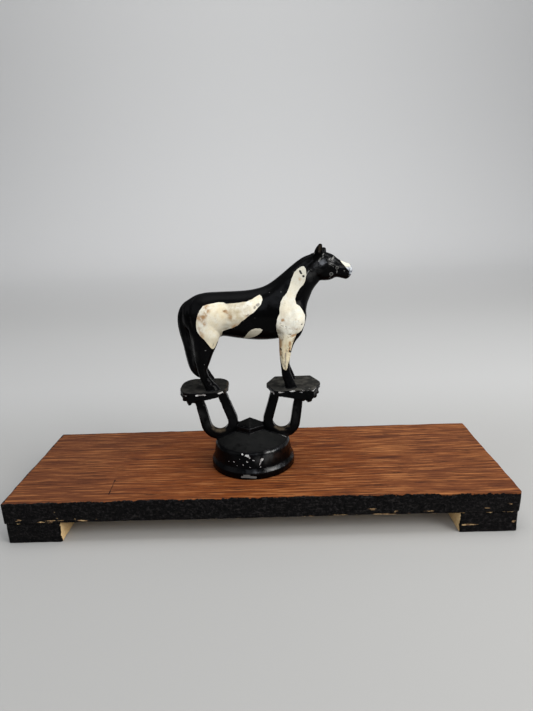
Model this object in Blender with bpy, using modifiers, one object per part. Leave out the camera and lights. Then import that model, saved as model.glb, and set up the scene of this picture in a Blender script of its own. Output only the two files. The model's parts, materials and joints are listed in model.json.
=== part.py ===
import math

import bmesh
import bpy
from mathutils import Vector

# The figurine stands on a wooden stand. Lengths are in metres, +Z is up and +X is toward the head.
# The stand's underside lies at zero height and its middle is the origin.

# Wooden stand
BOARD_LENGTH = 0.2508
BOARD_RIGHT_SKEW = 0.0008
BOARD_DEPTH = 0.0818
BOARD_THICKNESS = 0.0109
BOARD_EDGE_WEAR = 0.0007
BATTEN_HEIGHT = 0.0107
BATTEN_END_INSET = 0.0005
LEFT_BATTEN_WIDTH = 0.0273
LEFT_BATTEN_INSET = 0.0006
RIGHT_BATTEN_WIDTH = 0.0284
RIGHT_BATTEN_INSET = 0.0004
BATTEN_EDGE_WEAR = 0.0006
EDGE_WEAR_STEPS = 2
JOINT_GAP = 0.0003

# Round base of the casting
BASE_X = -0.0036
BASE_Y = -0.0012
FLANGE_RADIUS = 0.0223
FLANGE_HEIGHT = 0.0036
DRUM_RADIUS = 0.0201
DRUM_HEIGHT = 0.0130
DRUM_RIM_ROUND = 0.0009
DRUM_FLARE_SHARE = 0.35
DRUM_FLARE_HEIGHT = 0.0054
DOME_RISE = 0.0057
DOME_STEPS = 6
BASE_SIDES = 64
MERGE_DISTANCE = 0.00005
FLANGE_EDGE_ROUND = 0.0004
UNDERSIDE_STOCK = 0.0016

# Four-sided peak between the horseshoes
PEAK_X = -0.0010
PEAK_HEIGHT = 0.0250
PEAK_SHOULDER = 0.0210
PEAK_HALF_LENGTH = 0.0100
PEAK_HALF_DEPTH = 0.0070

# Horseshoes that carry the platforms, toe down
SHOE_TOE_HEIGHT = 0.0233
SHOE_TOE_INNER = 0.0047
SHOE_HEEL_INNER = 0.0037
SHOE_BAR_AT_TOE = 0.0053
SHOE_BAR_AT_HEEL = 0.0048
SHOE_DEPTH = 0.0050
SHOE_ARM_LENGTH = 0.0190
SHOE_EDGE_ROUND = 0.0007
SHOE_ARC_STEPS = 14
SHOE_ARM_STEPS = 4
HIND_SHOE_X = -0.0173
HIND_SHOE_LEAN = 15.5
FORE_SHOE_X = 0.0161
FORE_SHOE_LEAN = 12.5

# Platforms under the hooves
PLATFORM_TOP = 0.0438
PLATFORM_DEPTH = 0.0240
PLATFORM_INNER_THICKNESS = 0.0022
PLATFORM_OUTER_THICKNESS = 0.0024
PLATFORM_UNDERSIDE_SLOPE = 11.0
PLATFORM_THICKEST_SHARE = 0.77
PLATFORM_FOOT_SHRINK = 0.96
HIND_PLATFORM_INNER_X = -0.0113
HIND_PLATFORM_OUTER_X = -0.0364
HIND_PLATFORM_CORNER_LONG = 0.0070
HIND_PLATFORM_CORNER_DEEP = 0.0090
HIND_PLATFORM_CORNER_STEPS = 4
FORE_PLATFORM_INNER_X = 0.0086
FORE_PLATFORM_OUTER_X = 0.0368
FORE_PLATFORM_CORNER_LONG = 0.0042
FORE_PLATFORM_CORNER_DEEP = 0.0105
LUMP_RADIUS = 0.0021
LUMP_SPACING = 0.0042
LUMP_STRETCH = (1.0, 1.4, 0.9)
LUMP_STAGGER = 0.03
LUMP_SUNK_SHARE = 0.2

# The horse, from the platforms to the top of the withers
WITHERS_HEIGHT = 0.0520
BARREL_WIDTH = 0.0190
STANCE_WIDTH = 0.0140
NEAR_HIND_LEAD = 0.0019
LEAD_POWER = 3
TRUNK_END_ROUND = 0.42
NECK_END_ROUND = 0.5
HEAD_END_ROUND = 0.62
TAIL_END_ROUND = 0.7
SLIM_END_ROUND = 0.8
RING_SIDES = 20
RING_STEPS = 3
CAP_RINGS = 3

# Fusing of the modelled forms into one skin
SKIN_CELL = 0.00055
SKIN_SMOOTH_PASSES = 9
SKIN_SMOOTH_FACTOR = 0.5
CASTING_FACES_KEPT = 0.058

# Trunk rings: along, height, half height and half width, for a horse 52 tall and 19 wide
TRUNK_RINGS = (
    (-29.0, 36.4, 9.1, 6.4),
    (-25.0, 36.8, 11.1, 8.4),
    (-19.0, 37.4, 11.9, 9.4),
    (-12.0, 38.0, 11.4, 9.1),
    (-4.0, 37.2, 11.9, 9.4),
    (5.0, 37.0, 12.9, 9.5),
    (13.0, 37.6, 13.4, 9.1),
    (20.0, 38.5, 12.4, 8.4),
    (26.0, 37.4, 9.6, 7.0),
)
NECK_RINGS = (
    (13.5, 39.8, 10.5, 7.2),
    (20.9, 46.5, 10.8, 6.6),
    (27.0, 53.8, 8.4, 5.0),
    (33.0, 59.6, 7.2, 4.2),
    (35.8, 62.0, 5.3, 3.6),
)
HEAD_RINGS = (
    (34.2, 60.6, 6.4, 3.8),
    (36.9, 60.8, 7.4, 4.5),
    (40.2, 60.4, 7.3, 4.7),
    (43.1, 59.4, 6.1, 4.2),
    (45.7, 58.9, 4.5, 3.5),
    (48.0, 58.2, 4.0, 3.1),
    (50.7, 57.3, 3.9, 2.9),
)
TAIL_RINGS = (
    (-25.5, 44.8, 2.6, 2.4),
    (-30.3, 41.6, 3.2, 2.8),
    (-32.4, 36.0, 3.2, 3.0),
    (-31.9, 29.4, 3.1, 3.0),
    (-31.1, 22.6, 2.5, 3.0),
    (-30.1, 16.4, 2.5, 3.6),
    (-28.7, 10.8, 2.5, 4.2),
    (-26.5, 7.2, 1.8, 3.4),
)
# Leg rings: along, height, half length, half width and distance out as a share of half the stance
HIND_LEG_RINGS = (
    (-21.2, 36.0, 8.6, 5.0, 0.62),
    (-21.7, 27.4, 7.4, 4.6, 0.76),
    (-23.2, 20.6, 5.5, 3.7, 0.88),
    (-24.1, 15.6, 4.0, 3.0, 0.96),
    (-25.0, 10.6, 2.5, 2.6, 1.0),
    (-24.6, 6.8, 2.3, 2.4, 1.0),
    (-23.6, 4.0, 2.5, 2.6, 1.0),
    (-22.2, 0.4, 3.1, 3.0, 1.0),
)
FORE_LEG_RINGS = (
    (22.8, 37.4, 7.0, 4.6, 0.60),
    (21.6, 30.4, 6.6, 4.4, 0.70),
    (20.0, 24.8, 4.2, 3.5, 0.83),
    (19.2, 19.8, 3.2, 2.9, 0.92),
    (18.9, 14.8, 2.5, 2.6, 0.97),
    (19.1, 10.6, 2.1, 2.1, 1.0),
    (19.7, 6.9, 2.4, 2.4, 1.0),
    (20.9, 3.8, 2.5, 2.6, 1.0),
    (22.1, 0.4, 3.1, 3.0, 1.0),
)
NEAR_EAR_RINGS = (
    (36.1, 65.0, 2.4, 1.5, -2.8),
    (36.4, 67.8, 2.0, 1.2, -3.1),
    (37.0, 70.0, 1.3, 0.9, -3.3),
    (37.4, 71.3, 0.8, 0.7, -3.3),
)
FAR_EAR_RINGS = (
    (38.3, 65.2, 1.9, 1.2, 2.6),
    (39.2, 67.5, 1.5, 1.0, 3.0),
    (39.5, 68.2, 1.0, 0.8, 3.0),
)

UNIT = WITHERS_HEIGHT / 52.0
WIDTH_UNIT = BARREL_WIDTH / 19.0
BATTEN_DEPTH = BOARD_DEPTH - 2 * BATTEN_END_INSET
BOARD_BOTTOM = BATTEN_HEIGHT + JOINT_GAP
BOARD_TOP = BOARD_BOTTOM + BOARD_THICKNESS
BASE_BOTTOM = BOARD_TOP + JOINT_GAP


def clear_scene():
    for thing in list(bpy.data.objects):
        bpy.data.objects.remove(thing)


def new_collection(name):
    group = bpy.data.collections.new(name)
    bpy.context.scene.collection.children.link(group)
    return group


def new_material(name, colour, roughness):
    material = bpy.data.materials.new(name)
    material.use_nodes = True
    shader = material.node_tree.nodes["Principled BSDF"]
    shader.inputs["Base Color"].default_value = (*colour, 1.0)
    shader.inputs["Roughness"].default_value = roughness
    return material


def mesh_object(name, points, faces, group):
    mesh = bpy.data.meshes.new(name)
    mesh.from_pydata([tuple(point) for point in points], [], faces)
    mesh.validate()
    shape = bmesh.new()
    shape.from_mesh(mesh)
    bmesh.ops.recalc_face_normals(shape, faces=shape.faces)
    shape.to_mesh(mesh)
    shape.free()
    thing = bpy.data.objects.new(name, mesh)
    group.objects.link(thing)
    return thing


def between(rows, place, share):
    """Smooth values a share of the way from one row to the next."""
    before = rows[max(place - 1, 0)]
    start = rows[place]
    end = rows[place + 1]
    after = rows[min(place + 2, len(rows) - 1)]
    values = []
    for a, b, c, d in zip(before, start, end, after):
        bend = (2 * a - 5 * b + 4 * c - d) * share ** 2
        twist = (3 * b - a - 3 * c + d) * share ** 3
        values.append(0.5 * (2 * b + (c - a) * share + bend + twist))
    return values


def finer(rows, steps):
    dense = []
    for place in range(len(rows) - 1):
        for step in range(steps):
            dense.append(between(rows, place, step / steps))
    dense.append(list(rows[-1]))
    return dense


def limb(name, rows, end_round, group, flat_end=False):
    """Closed loft through rows of x, y, z, half size in the XZ plane and half size across it."""
    dense = finer(rows, RING_STEPS)
    centres = [Vector(row[:3]) for row in dense]
    rings = []
    for place, row in enumerate(dense):
        ahead = centres[min(place + 1, len(centres) - 1)]
        behind = centres[max(place - 1, 0)]
        rings.append((centres[place], (ahead - behind).normalized(), row[3], row[4]))
    first = rings[0]
    last = rings[-1]
    caps_in = []
    caps_out = []
    for step in range(CAP_RINGS, 0, -1):
        turn = math.radians(90 * step / (CAP_RINGS + 1))
        reach = end_round * math.sin(turn)
        shrink = math.cos(turn)
        centre = first[0] - first[1] * first[2] * reach
        caps_in.append((centre, first[1], first[2] * shrink, first[3] * shrink))
        centre = last[0] + last[1] * last[2] * reach
        caps_out.insert(0, (centre, last[1], last[2] * shrink, last[3] * shrink))
    if flat_end:
        caps_out = []
    rings = caps_in + rings + caps_out
    points = []
    for centre, heading, half_long, half_wide in rings:
        across = Vector((0.0, 1.0, 0.0))
        upward = heading.cross(across).normalized()
        across = upward.cross(heading).normalized()
        for side in range(RING_SIDES):
            turn = 2 * math.pi * side / RING_SIDES
            points.append(centre + upward * half_long * math.cos(turn) + across * half_wide * math.sin(turn))
    faces = []
    for ring in range(len(rings) - 1):
        for side in range(RING_SIDES):
            after = (side + 1) % RING_SIDES
            low = ring * RING_SIDES
            high = low + RING_SIDES
            faces.append((low + side, low + after, high + after, high + side))
    faces.append(tuple(range(RING_SIDES)))
    faces.append(tuple(range(len(points) - RING_SIDES, len(points))))
    mesh_object(name, points, faces, group)


def on_platform(rows):
    """Rows of along, height, half long, half wide become rows in metres above the platforms."""
    placed = []
    for along, height, half_long, half_wide in rows:
        centre = (along * UNIT, 0.0, PLATFORM_TOP + height * UNIT)
        placed.append((*centre, half_long * UNIT, half_wide * WIDTH_UNIT))
    return placed


def leg_rows(rows, side, lead):
    """Leg rows on one side; lead carries the hoof forward, in proportion to the way down the leg."""
    placed = []
    top = rows[0][1]
    for along, height, half_long, half_wide, share_out in rows:
        drop = 1.0 - height / top
        out = side * share_out * STANCE_WIDTH / 2
        centre = (along * UNIT + lead * drop ** LEAD_POWER, out, PLATFORM_TOP + height * UNIT)
        placed.append((*centre, half_long * UNIT, half_wide * WIDTH_UNIT))
    return placed


def ear_rows(rows):
    placed = []
    for along, height, half_long, half_wide, aside in rows:
        centre = (along * UNIT, aside * WIDTH_UNIT, PLATFORM_TOP + height * UNIT)
        placed.append((*centre, half_long * UNIT, half_wide * WIDTH_UNIT))
    return placed


def horse_forms(group):
    limb("trunk_form", on_platform(TRUNK_RINGS), TRUNK_END_ROUND, group)
    limb("neck_form", on_platform(NECK_RINGS), NECK_END_ROUND, group)
    limb("head_form", on_platform(HEAD_RINGS), HEAD_END_ROUND, group)
    limb("tail_form", on_platform(TAIL_RINGS), TAIL_END_ROUND, group)
    limb("near_ear_form", ear_rows(NEAR_EAR_RINGS), SLIM_END_ROUND, group)
    limb("far_ear_form", ear_rows(FAR_EAR_RINGS), SLIM_END_ROUND, group)
    limb("near_hind_leg_form", leg_rows(HIND_LEG_RINGS, -1, NEAR_HIND_LEAD), SLIM_END_ROUND, group, True)
    limb("far_hind_leg_form", leg_rows(HIND_LEG_RINGS, 1, 0.0), SLIM_END_ROUND, group, True)
    limb("near_fore_leg_form", leg_rows(FORE_LEG_RINGS, -1, 0.0), SLIM_END_ROUND, group, True)
    limb("far_fore_leg_form", leg_rows(FORE_LEG_RINGS, 1, 0.0), SLIM_END_ROUND, group, True)


def shoe_form(name, middle, lean, group):
    """Horseshoe toe down: a half turn of bar at the toe and two arms that close in toward the heels."""
    path = []
    for step in range(SHOE_ARM_STEPS, 0, -1):
        share = step / SHOE_ARM_STEPS
        path.append((-1, share, None))
    for step in range(SHOE_ARC_STEPS + 1):
        path.append((0, 0.0, math.pi * step / SHOE_ARC_STEPS))
    for step in range(1, SHOE_ARM_STEPS + 1):
        path.append((1, step / SHOE_ARM_STEPS, None))
    lean_turn = math.radians(lean)
    points = []
    corner = SHOE_DEPTH / 2 - SHOE_EDGE_ROUND
    for side, share, turn in path:
        inner = SHOE_TOE_INNER + (SHOE_HEEL_INNER - SHOE_TOE_INNER) * share
        bar = SHOE_BAR_AT_TOE + (SHOE_BAR_AT_HEEL - SHOE_BAR_AT_TOE) * share
        if turn is None:
            direction = (side, 0.0)
            lift = SHOE_ARM_LENGTH * share
        else:
            direction = (-math.cos(turn), -math.sin(turn))
            lift = 0.0
        outline = (
            (inner, -corner),
            (inner + SHOE_EDGE_ROUND, -SHOE_DEPTH / 2),
            (inner + bar - SHOE_EDGE_ROUND, -SHOE_DEPTH / 2),
            (inner + bar, -corner),
            (inner + bar, corner),
            (inner + bar - SHOE_EDGE_ROUND, SHOE_DEPTH / 2),
            (inner + SHOE_EDGE_ROUND, SHOE_DEPTH / 2),
            (inner, corner),
        )
        for reach, depth in outline:
            flat_x = direction[0] * reach
            flat_z = direction[1] * reach + lift
            x = flat_x * math.cos(lean_turn) + flat_z * math.sin(lean_turn)
            z = flat_z * math.cos(lean_turn) - flat_x * math.sin(lean_turn)
            points.append((middle + x, depth, SHOE_TOE_HEIGHT + z))
    sides = len(outline)
    faces = []
    for ring in range(len(path) - 1):
        for side in range(sides):
            after = (side + 1) % sides
            low = ring * sides
            high = low + sides
            faces.append((low + side, low + after, high + after, high + side))
    faces.append(tuple(range(sides)))
    faces.append(tuple(range(len(points) - sides, len(points))))
    mesh_object(name, points, faces, group)


def platform_drop(along, length):
    """Thickness under the level top: grows toward the outer end, then lifts again."""
    fall = math.tan(math.radians(PLATFORM_UNDERSIDE_SLOPE))
    thickest_at = length * PLATFORM_THICKEST_SHARE
    if along <= thickest_at:
        return PLATFORM_INNER_THICKNESS + fall * along
    thickest = PLATFORM_INNER_THICKNESS + fall * thickest_at
    share = (along - thickest_at) / (length - thickest_at)
    return thickest + (PLATFORM_OUTER_THICKNESS - thickest) * share


def platform_form(name, inner_x, outer_x, corner_long, corner_deep, corner_steps, group):
    """Wedge of cast metal with a level top; the corners are cut straight or turned in steps."""
    way = 1.0 if outer_x > inner_x else -1.0
    length = abs(outer_x - inner_x)
    half = PLATFORM_DEPTH / 2
    front = []
    for step in range(corner_steps + 1):
        turn = math.radians(90 * step / corner_steps)
        front.append((corner_long * (1 - math.sin(turn)), -half + corner_deep * (1 - math.cos(turn))))
    front.reverse()
    plan = list(front)
    plan.append((length * PLATFORM_THICKEST_SHARE, -half))
    plan += [(length - along, depth) for along, depth in reversed(front)]
    plan += [(along, -depth) for along, depth in reversed(plan)]
    points = []
    for along, depth in plan:
        points.append((inner_x + way * along, depth, PLATFORM_TOP))
    for along, depth in plan:
        drop = platform_drop(along, length)
        points.append((inner_x + way * along, depth * PLATFORM_FOOT_SHRINK, PLATFORM_TOP - drop))
    count = len(plan)
    faces = [tuple(range(count)), tuple(range(count, 2 * count))]
    for side in range(count):
        after = (side + 1) % count
        faces.append((side, after, count + after, count + side))
    thing = mesh_object(name, points, faces, group)
    shape = bmesh.new()
    shape.from_mesh(thing.data)
    bmesh.ops.triangulate(shape, faces=shape.faces)
    shape.to_mesh(thing.data)
    shape.free()
    for place in (-1, 0, 1):
        lump_x = inner_x + way * length * (PLATFORM_THICKEST_SHARE + LUMP_STAGGER * place)
        lump_z = PLATFORM_TOP - platform_drop(length * PLATFORM_THICKEST_SHARE, length)
        lump_z -= LUMP_RADIUS * LUMP_SUNK_SHARE
        lump_form(name + "_lump", lump_x, LUMP_SPACING * place, lump_z, group)


def lump_form(name, x, y, z, group):
    """Spilled metal under a platform."""
    shape = bmesh.new()
    bmesh.ops.create_icosphere(shape, subdivisions=2, radius=LUMP_RADIUS)
    bmesh.ops.scale(shape, vec=LUMP_STRETCH, verts=shape.verts)
    bmesh.ops.translate(shape, vec=(x, y, z), verts=shape.verts)
    mesh = bpy.data.meshes.new(name)
    shape.to_mesh(mesh)
    shape.free()
    group.objects.link(bpy.data.objects.new(name, mesh))


def peak_form(group):
    """Low four-sided peak with a corner to the front, on upright sides sunk in the dome."""
    corners = (
        (PEAK_X - PEAK_HALF_LENGTH, 0.0),
        (PEAK_X, -PEAK_HALF_DEPTH),
        (PEAK_X + PEAK_HALF_LENGTH, 0.0),
        (PEAK_X, PEAK_HALF_DEPTH),
    )
    points = [(x, y, DRUM_HEIGHT) for x, y in corners]
    points += [(x, y, PEAK_SHOULDER) for x, y in corners]
    points.append((PEAK_X, 0.0, PEAK_HEIGHT))
    faces = [(0, 1, 2, 3)]
    for side in range(4):
        after = (side + 1) % 4
        faces.append((side, after, 4 + after, 4 + side))
        faces.append((4 + side, 4 + after, 8))
    mesh_object("peak_form", points, faces, group)


def box_faces(half_side, height):
    """Points and faces of a square box standing on its origin."""
    points = []
    for z in (0.0, height):
        for x, y in ((-1, -1), (1, -1), (1, 1), (-1, 1)):
            points.append((x * half_side, y * half_side, z))
    faces = [(0, 1, 2, 3), (4, 5, 6, 7)]
    for side in range(4):
        after = (side + 1) % 4
        faces.append((side, after, 4 + after, 4 + side))
    return points, faces


def base_form(group):
    """Turned base: flanged foot, slightly drawn-in drum and a domed top."""
    profile = [(0.0, DRUM_HEIGHT + DOME_RISE)]
    dome_edge = DRUM_RADIUS - DRUM_RIM_ROUND
    for step in range(1, DOME_STEPS + 1):
        reach = dome_edge * step / DOME_STEPS
        rise = DOME_RISE * (1.0 - (reach / DRUM_RADIUS) ** 2)
        profile.append((reach, DRUM_HEIGHT + rise))
    profile.append((DRUM_RADIUS, DRUM_HEIGHT - DRUM_RIM_ROUND))
    profile.append((DRUM_RADIUS + (FLANGE_RADIUS - DRUM_RADIUS) * DRUM_FLARE_SHARE, DRUM_FLARE_HEIGHT))
    profile.append((FLANGE_RADIUS - FLANGE_EDGE_ROUND, FLANGE_HEIGHT))
    profile.append((FLANGE_RADIUS, FLANGE_HEIGHT - FLANGE_EDGE_ROUND))
    profile.append((FLANGE_RADIUS, -UNDERSIDE_STOCK))
    profile.append((0.0, -UNDERSIDE_STOCK))
    points = [(reach, 0.0, height) for reach, height in profile]
    mesh = bpy.data.meshes.new("base_form")
    mesh.from_pydata(points, [(place, place + 1) for place in range(len(points) - 1)], [])
    thing = bpy.data.objects.new("base_form", mesh)
    group.objects.link(thing)
    turn = thing.modifiers.new("turned", "SCREW")
    turn.axis = "Z"
    turn.steps = BASE_SIDES
    turn.render_steps = BASE_SIDES
    turn.use_merge_vertices = True
    turn.merge_threshold = MERGE_DISTANCE
    turn.use_normal_calculate = True


def wooden_piece(name, left, right, depth, bottom, top, wear, group, skew=0.0):
    """Flat sawn piece with worn edges; skew draws the far right corner in."""
    shape = bmesh.new()
    bmesh.ops.create_cube(shape, size=1.0)
    bmesh.ops.scale(shape, vec=(right - left, depth, top - bottom), verts=shape.verts)
    for corner_point in shape.verts:
        if corner_point.co.x > 0.0 and corner_point.co.y > 0.0:
            corner_point.co.x -= skew
    mesh = bpy.data.meshes.new(name)
    shape.to_mesh(mesh)
    shape.free()
    thing = bpy.data.objects.new(name, mesh)
    thing.location = ((left + right) / 2, 0.0, (bottom + top) / 2)
    group.objects.link(thing)
    worn = thing.modifiers.new("worn_edges", "BEVEL")
    worn.width = wear
    worn.segments = EDGE_WEAR_STEPS
    worn.limit_method = "NONE"
    return thing


def casting(parts, forms):
    """One casting: base, peak, horseshoes, platforms and horse fused into one closed skin."""
    horse_forms(forms)
    shoe_form("hind_shoe_form", HIND_SHOE_X, -HIND_SHOE_LEAN, forms)
    shoe_form("fore_shoe_form", FORE_SHOE_X, FORE_SHOE_LEAN, forms)
    platform_form(
        "hind_platform_form", HIND_PLATFORM_INNER_X, HIND_PLATFORM_OUTER_X,
        HIND_PLATFORM_CORNER_LONG, HIND_PLATFORM_CORNER_DEEP, HIND_PLATFORM_CORNER_STEPS, forms,
    )
    platform_form(
        "fore_platform_form", FORE_PLATFORM_INNER_X, FORE_PLATFORM_OUTER_X,
        FORE_PLATFORM_CORNER_LONG, FORE_PLATFORM_CORNER_DEEP, 1, forms,
    )
    peak_form(forms)
    base_form(forms)
    place = (BASE_X, BASE_Y, BASE_BOTTOM)
    for form in forms.objects:
        form.location = place
        form.hide_render = True
        form.display_type = "WIRE"
    mesh = bpy.data.meshes.new("horse_figurine")
    thing = bpy.data.objects.new("horse_figurine", mesh)
    parts.objects.link(thing)
    join = thing.modifiers.new("forms_joined", "BOOLEAN")
    join.operation = "UNION"
    join.solver = "EXACT"
    join.operand_type = "COLLECTION"
    join.collection = forms
    join.use_self = True
    fuse = thing.modifiers.new("one_skin", "REMESH")
    fuse.mode = "VOXEL"
    fuse.voxel_size = SKIN_CELL
    soften = thing.modifiers.new("softened", "SMOOTH")
    soften.factor = SKIN_SMOOTH_FACTOR
    soften.iterations = SKIN_SMOOTH_PASSES
    lighten = thing.modifiers.new("fewer_faces", "DECIMATE")
    lighten.ratio = CASTING_FACES_KEPT
    thing.location = place
    cutters = new_collection("cutters")
    trim = mesh_object("underside_cut", *box_faces(2 * FLANGE_RADIUS, 2 * UNDERSIDE_STOCK), cutters)
    trim.location = (BASE_X, BASE_Y, BASE_BOTTOM - 2 * UNDERSIDE_STOCK)
    trim.hide_render = True
    trim.display_type = "WIRE"
    level = thing.modifiers.new("level_underside", "BOOLEAN")
    level.operation = "DIFFERENCE"
    level.solver = "EXACT"
    level.object = trim
    return thing


def build():
    clear_scene()
    parts = new_collection("horse figurine on base")
    forms = new_collection("forms of the casting")
    half = BOARD_LENGTH / 2
    board = wooden_piece(
        "board", -half, half, BOARD_DEPTH, BOARD_BOTTOM, BOARD_TOP, BOARD_EDGE_WEAR, parts, BOARD_RIGHT_SKEW,
    )
    left = -half + LEFT_BATTEN_INSET
    left_batten = wooden_piece(
        "left_batten", left, left + LEFT_BATTEN_WIDTH, BATTEN_DEPTH, 0.0, BATTEN_HEIGHT,
        BATTEN_EDGE_WEAR, parts,
    )
    right = half - RIGHT_BATTEN_INSET
    right_batten = wooden_piece(
        "right_batten", right - RIGHT_BATTEN_WIDTH, right, BATTEN_DEPTH, 0.0, BATTEN_HEIGHT,
        BATTEN_EDGE_WEAR, parts,
    )
    figurine = casting(parts, forms)
    board.data.materials.append(new_material("stained_wood", (0.19, 0.07, 0.035), 0.45))
    left_batten.data.materials.append(new_material("black_painted_wood_left", (0.02, 0.02, 0.02), 0.5))
    right_batten.data.materials.append(new_material("black_painted_wood_right", (0.02, 0.02, 0.02), 0.5))
    figurine.data.materials.append(new_material("painted_cast_metal", (0.012, 0.012, 0.014), 0.3))


build()
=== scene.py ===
import json
import math

import bmesh
import bpy
import numpy as np
from mathutils import Matrix, Vector, noise

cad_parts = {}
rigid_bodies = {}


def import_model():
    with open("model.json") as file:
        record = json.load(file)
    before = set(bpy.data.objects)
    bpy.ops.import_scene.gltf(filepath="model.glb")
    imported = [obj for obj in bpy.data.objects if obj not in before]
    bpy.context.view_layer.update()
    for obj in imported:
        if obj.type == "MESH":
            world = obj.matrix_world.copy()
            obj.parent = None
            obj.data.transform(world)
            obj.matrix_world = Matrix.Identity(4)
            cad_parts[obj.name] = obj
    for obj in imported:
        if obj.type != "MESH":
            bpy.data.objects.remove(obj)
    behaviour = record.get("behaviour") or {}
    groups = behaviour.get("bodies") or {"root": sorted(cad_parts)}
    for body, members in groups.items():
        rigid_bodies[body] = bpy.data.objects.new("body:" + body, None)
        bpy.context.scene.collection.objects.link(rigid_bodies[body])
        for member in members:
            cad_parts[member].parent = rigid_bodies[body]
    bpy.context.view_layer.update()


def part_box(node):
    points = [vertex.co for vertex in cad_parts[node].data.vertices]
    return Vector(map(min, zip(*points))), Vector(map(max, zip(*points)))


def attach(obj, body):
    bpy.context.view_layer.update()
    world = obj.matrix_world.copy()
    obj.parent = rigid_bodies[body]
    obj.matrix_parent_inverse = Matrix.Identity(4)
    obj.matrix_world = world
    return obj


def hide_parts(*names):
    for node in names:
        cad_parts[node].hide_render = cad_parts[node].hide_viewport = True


# The casting is modelled in millimetres from the middle of its underside: X toward the head, Y away
# from the painted side, Z up. The wooden pieces and the camera are in metres in the shared frame.
MM = 0.001
CASTING_X = -0.0036
CASTING_Y = -0.0012

# Fusing of the casting's forms into one skin
SKIN_CELL = 0.36
SKIN_SMOOTH_PASSES = 6
BODY_SOFTENING_PASSES = 110
BODY_SWELLING = 0.5
SKIN_TRIANGLES = 115000
MARK_CELL = 0.26
MARK_BAND = 0.22
MARK_ROUNDS = 4
# Depth given to points that no mark reaches, and how far from the middle plane a side's marks begin
WELL_OUTSIDE = -20.0
SIDE_BEGINS = 0.4
CARVING_SOFTENING_PASSES = 5

# Round base
FLANGE_RADIUS = 22.3
FLANGE_HEIGHT = 3.6
FLANGE_EDGE_ROUND = 0.4
DRUM_RADIUS = 20.1
DRUM_HEIGHT = 13.0
DRUM_RIM_ROUND = 3.0
DRUM_FLARE_SHARE = 0.35
DRUM_FLARE_HEIGHT = 5.4
DOME_RISE = 5.7
BASE_SIDES = 128
UNDERSIDE_STOCK = 1.6

# Four-sided peak between the horseshoes
PEAK_X = -1.0
PEAK_HEIGHT = 25.1
PEAK_SHOULDER = 21.0
PEAK_HALF_LENGTH = 10.0
PEAK_HALF_DEPTH = 7.0

# Horseshoes, toe down
SHOE_TOE_HEIGHT = 23.3
SHOE_TOE_INNER = 4.7
SHOE_HEEL_INNER = 3.7
SHOE_BAR_AT_TOE = 5.2
SHOE_BAR_AT_HEEL = 4.7
SHOE_DEPTH = 5.0
SHOE_ARM_LENGTH = 19.0
SHOE_EDGE_ROUND = 0.7
# Middle along X, and lean in degrees
HIND_SHOE = (-17.3, -15.5)
FORE_SHOE = (16.1, 12.5)

# Platforms: inner and outer end, length and depth of the cut corners, and steps in each corner
PLATFORM_TOP = 43.8
PLATFORM_DEPTH = 24.0
PLATFORM_INNER_THICKNESS = 2.2
PLATFORM_OUTER_THICKNESS = 2.4
PLATFORM_UNDERSIDE_SLOPE = 11.0
PLATFORM_THICKEST_SHARE = 0.77
PLATFORM_FOOT_SHRINK = 0.96
HIND_PLATFORM = (-11.3, -36.4, 7.0, 9.0, 6)
FORE_PLATFORM = (8.6, 36.8, 4.2, 10.5, 1)
# Lumps below: share of the platform's length, place along Y and radius
LUMPS = (
    (0.72, -6.0, 1.5), (0.80, -2.6, 2.2), (0.77, 1.2, 1.8), (0.84, 4.4, 2.1), (0.70, 7.2, 1.4),
    (0.78, -8.6, 1.7), (0.88, -7.2, 1.5), (0.66, -9.0, 1.2), (0.93, -3.4, 1.4),
)

# Lofted rows: x, height over the platforms, half size in the side view, half width
TRUNK = (
    (-29.0, 36.4, 9.1, 6.4), (-25.0, 36.8, 11.1, 8.4), (-19.0, 37.4, 11.9, 9.4), (-12.0, 38.0, 11.4, 9.1),
    (-4.0, 37.2, 11.9, 9.4), (5.0, 37.0, 12.9, 9.5), (13.0, 37.6, 13.4, 9.1), (20.0, 38.5, 12.4, 8.4),
    (26.0, 37.4, 9.6, 7.0),
)
NECK = (
    (13.5, 39.8, 10.5, 7.2), (21.1, 46.3, 10.5, 6.6), (27.0, 53.8, 8.4, 5.0), (33.0, 59.6, 7.2, 4.2),
    (35.8, 62.0, 5.3, 3.6),
)
WITHERS = ((3.0, 46.0, 3.2, 3.4), (9.5, 47.3, 3.7, 3.4), (15.0, 50.4, 3.4, 3.2))
HEAD = (
    (34.2, 60.6, 6.4, 3.8), (36.9, 60.6, 7.2, 4.5), (40.2, 60.0, 6.9, 4.7), (43.1, 59.4, 6.1, 4.2),
    (45.7, 58.9, 4.5, 3.5), (48.0, 58.2, 4.0, 3.1), (50.7, 57.3, 3.9, 2.9),
)
TAIL = (
    (-25.5, 44.8, 2.6, 2.4), (-30.3, 41.6, 3.2, 2.8), (-32.4, 36.0, 3.2, 3.0), (-31.9, 29.4, 3.1, 3.0),
    (-31.1, 22.6, 2.5, 3.0), (-30.1, 16.4, 2.5, 3.8), (-28.6, 10.8, 2.6, 4.6), (-26.6, 7.6, 2.2, 4.4),
    (-24.6, 5.8, 1.6, 3.8),
)
TAIL_WEB = (
    (-26.6, 36.0, 3.4, 4.4), (-27.2, 28.0, 3.6, 4.6), (-27.0, 20.0, 3.6, 5.4), (-26.6, 13.0, 3.0, 5.8),
    (-25.4, 8.5, 2.0, 5.4),
)
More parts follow.
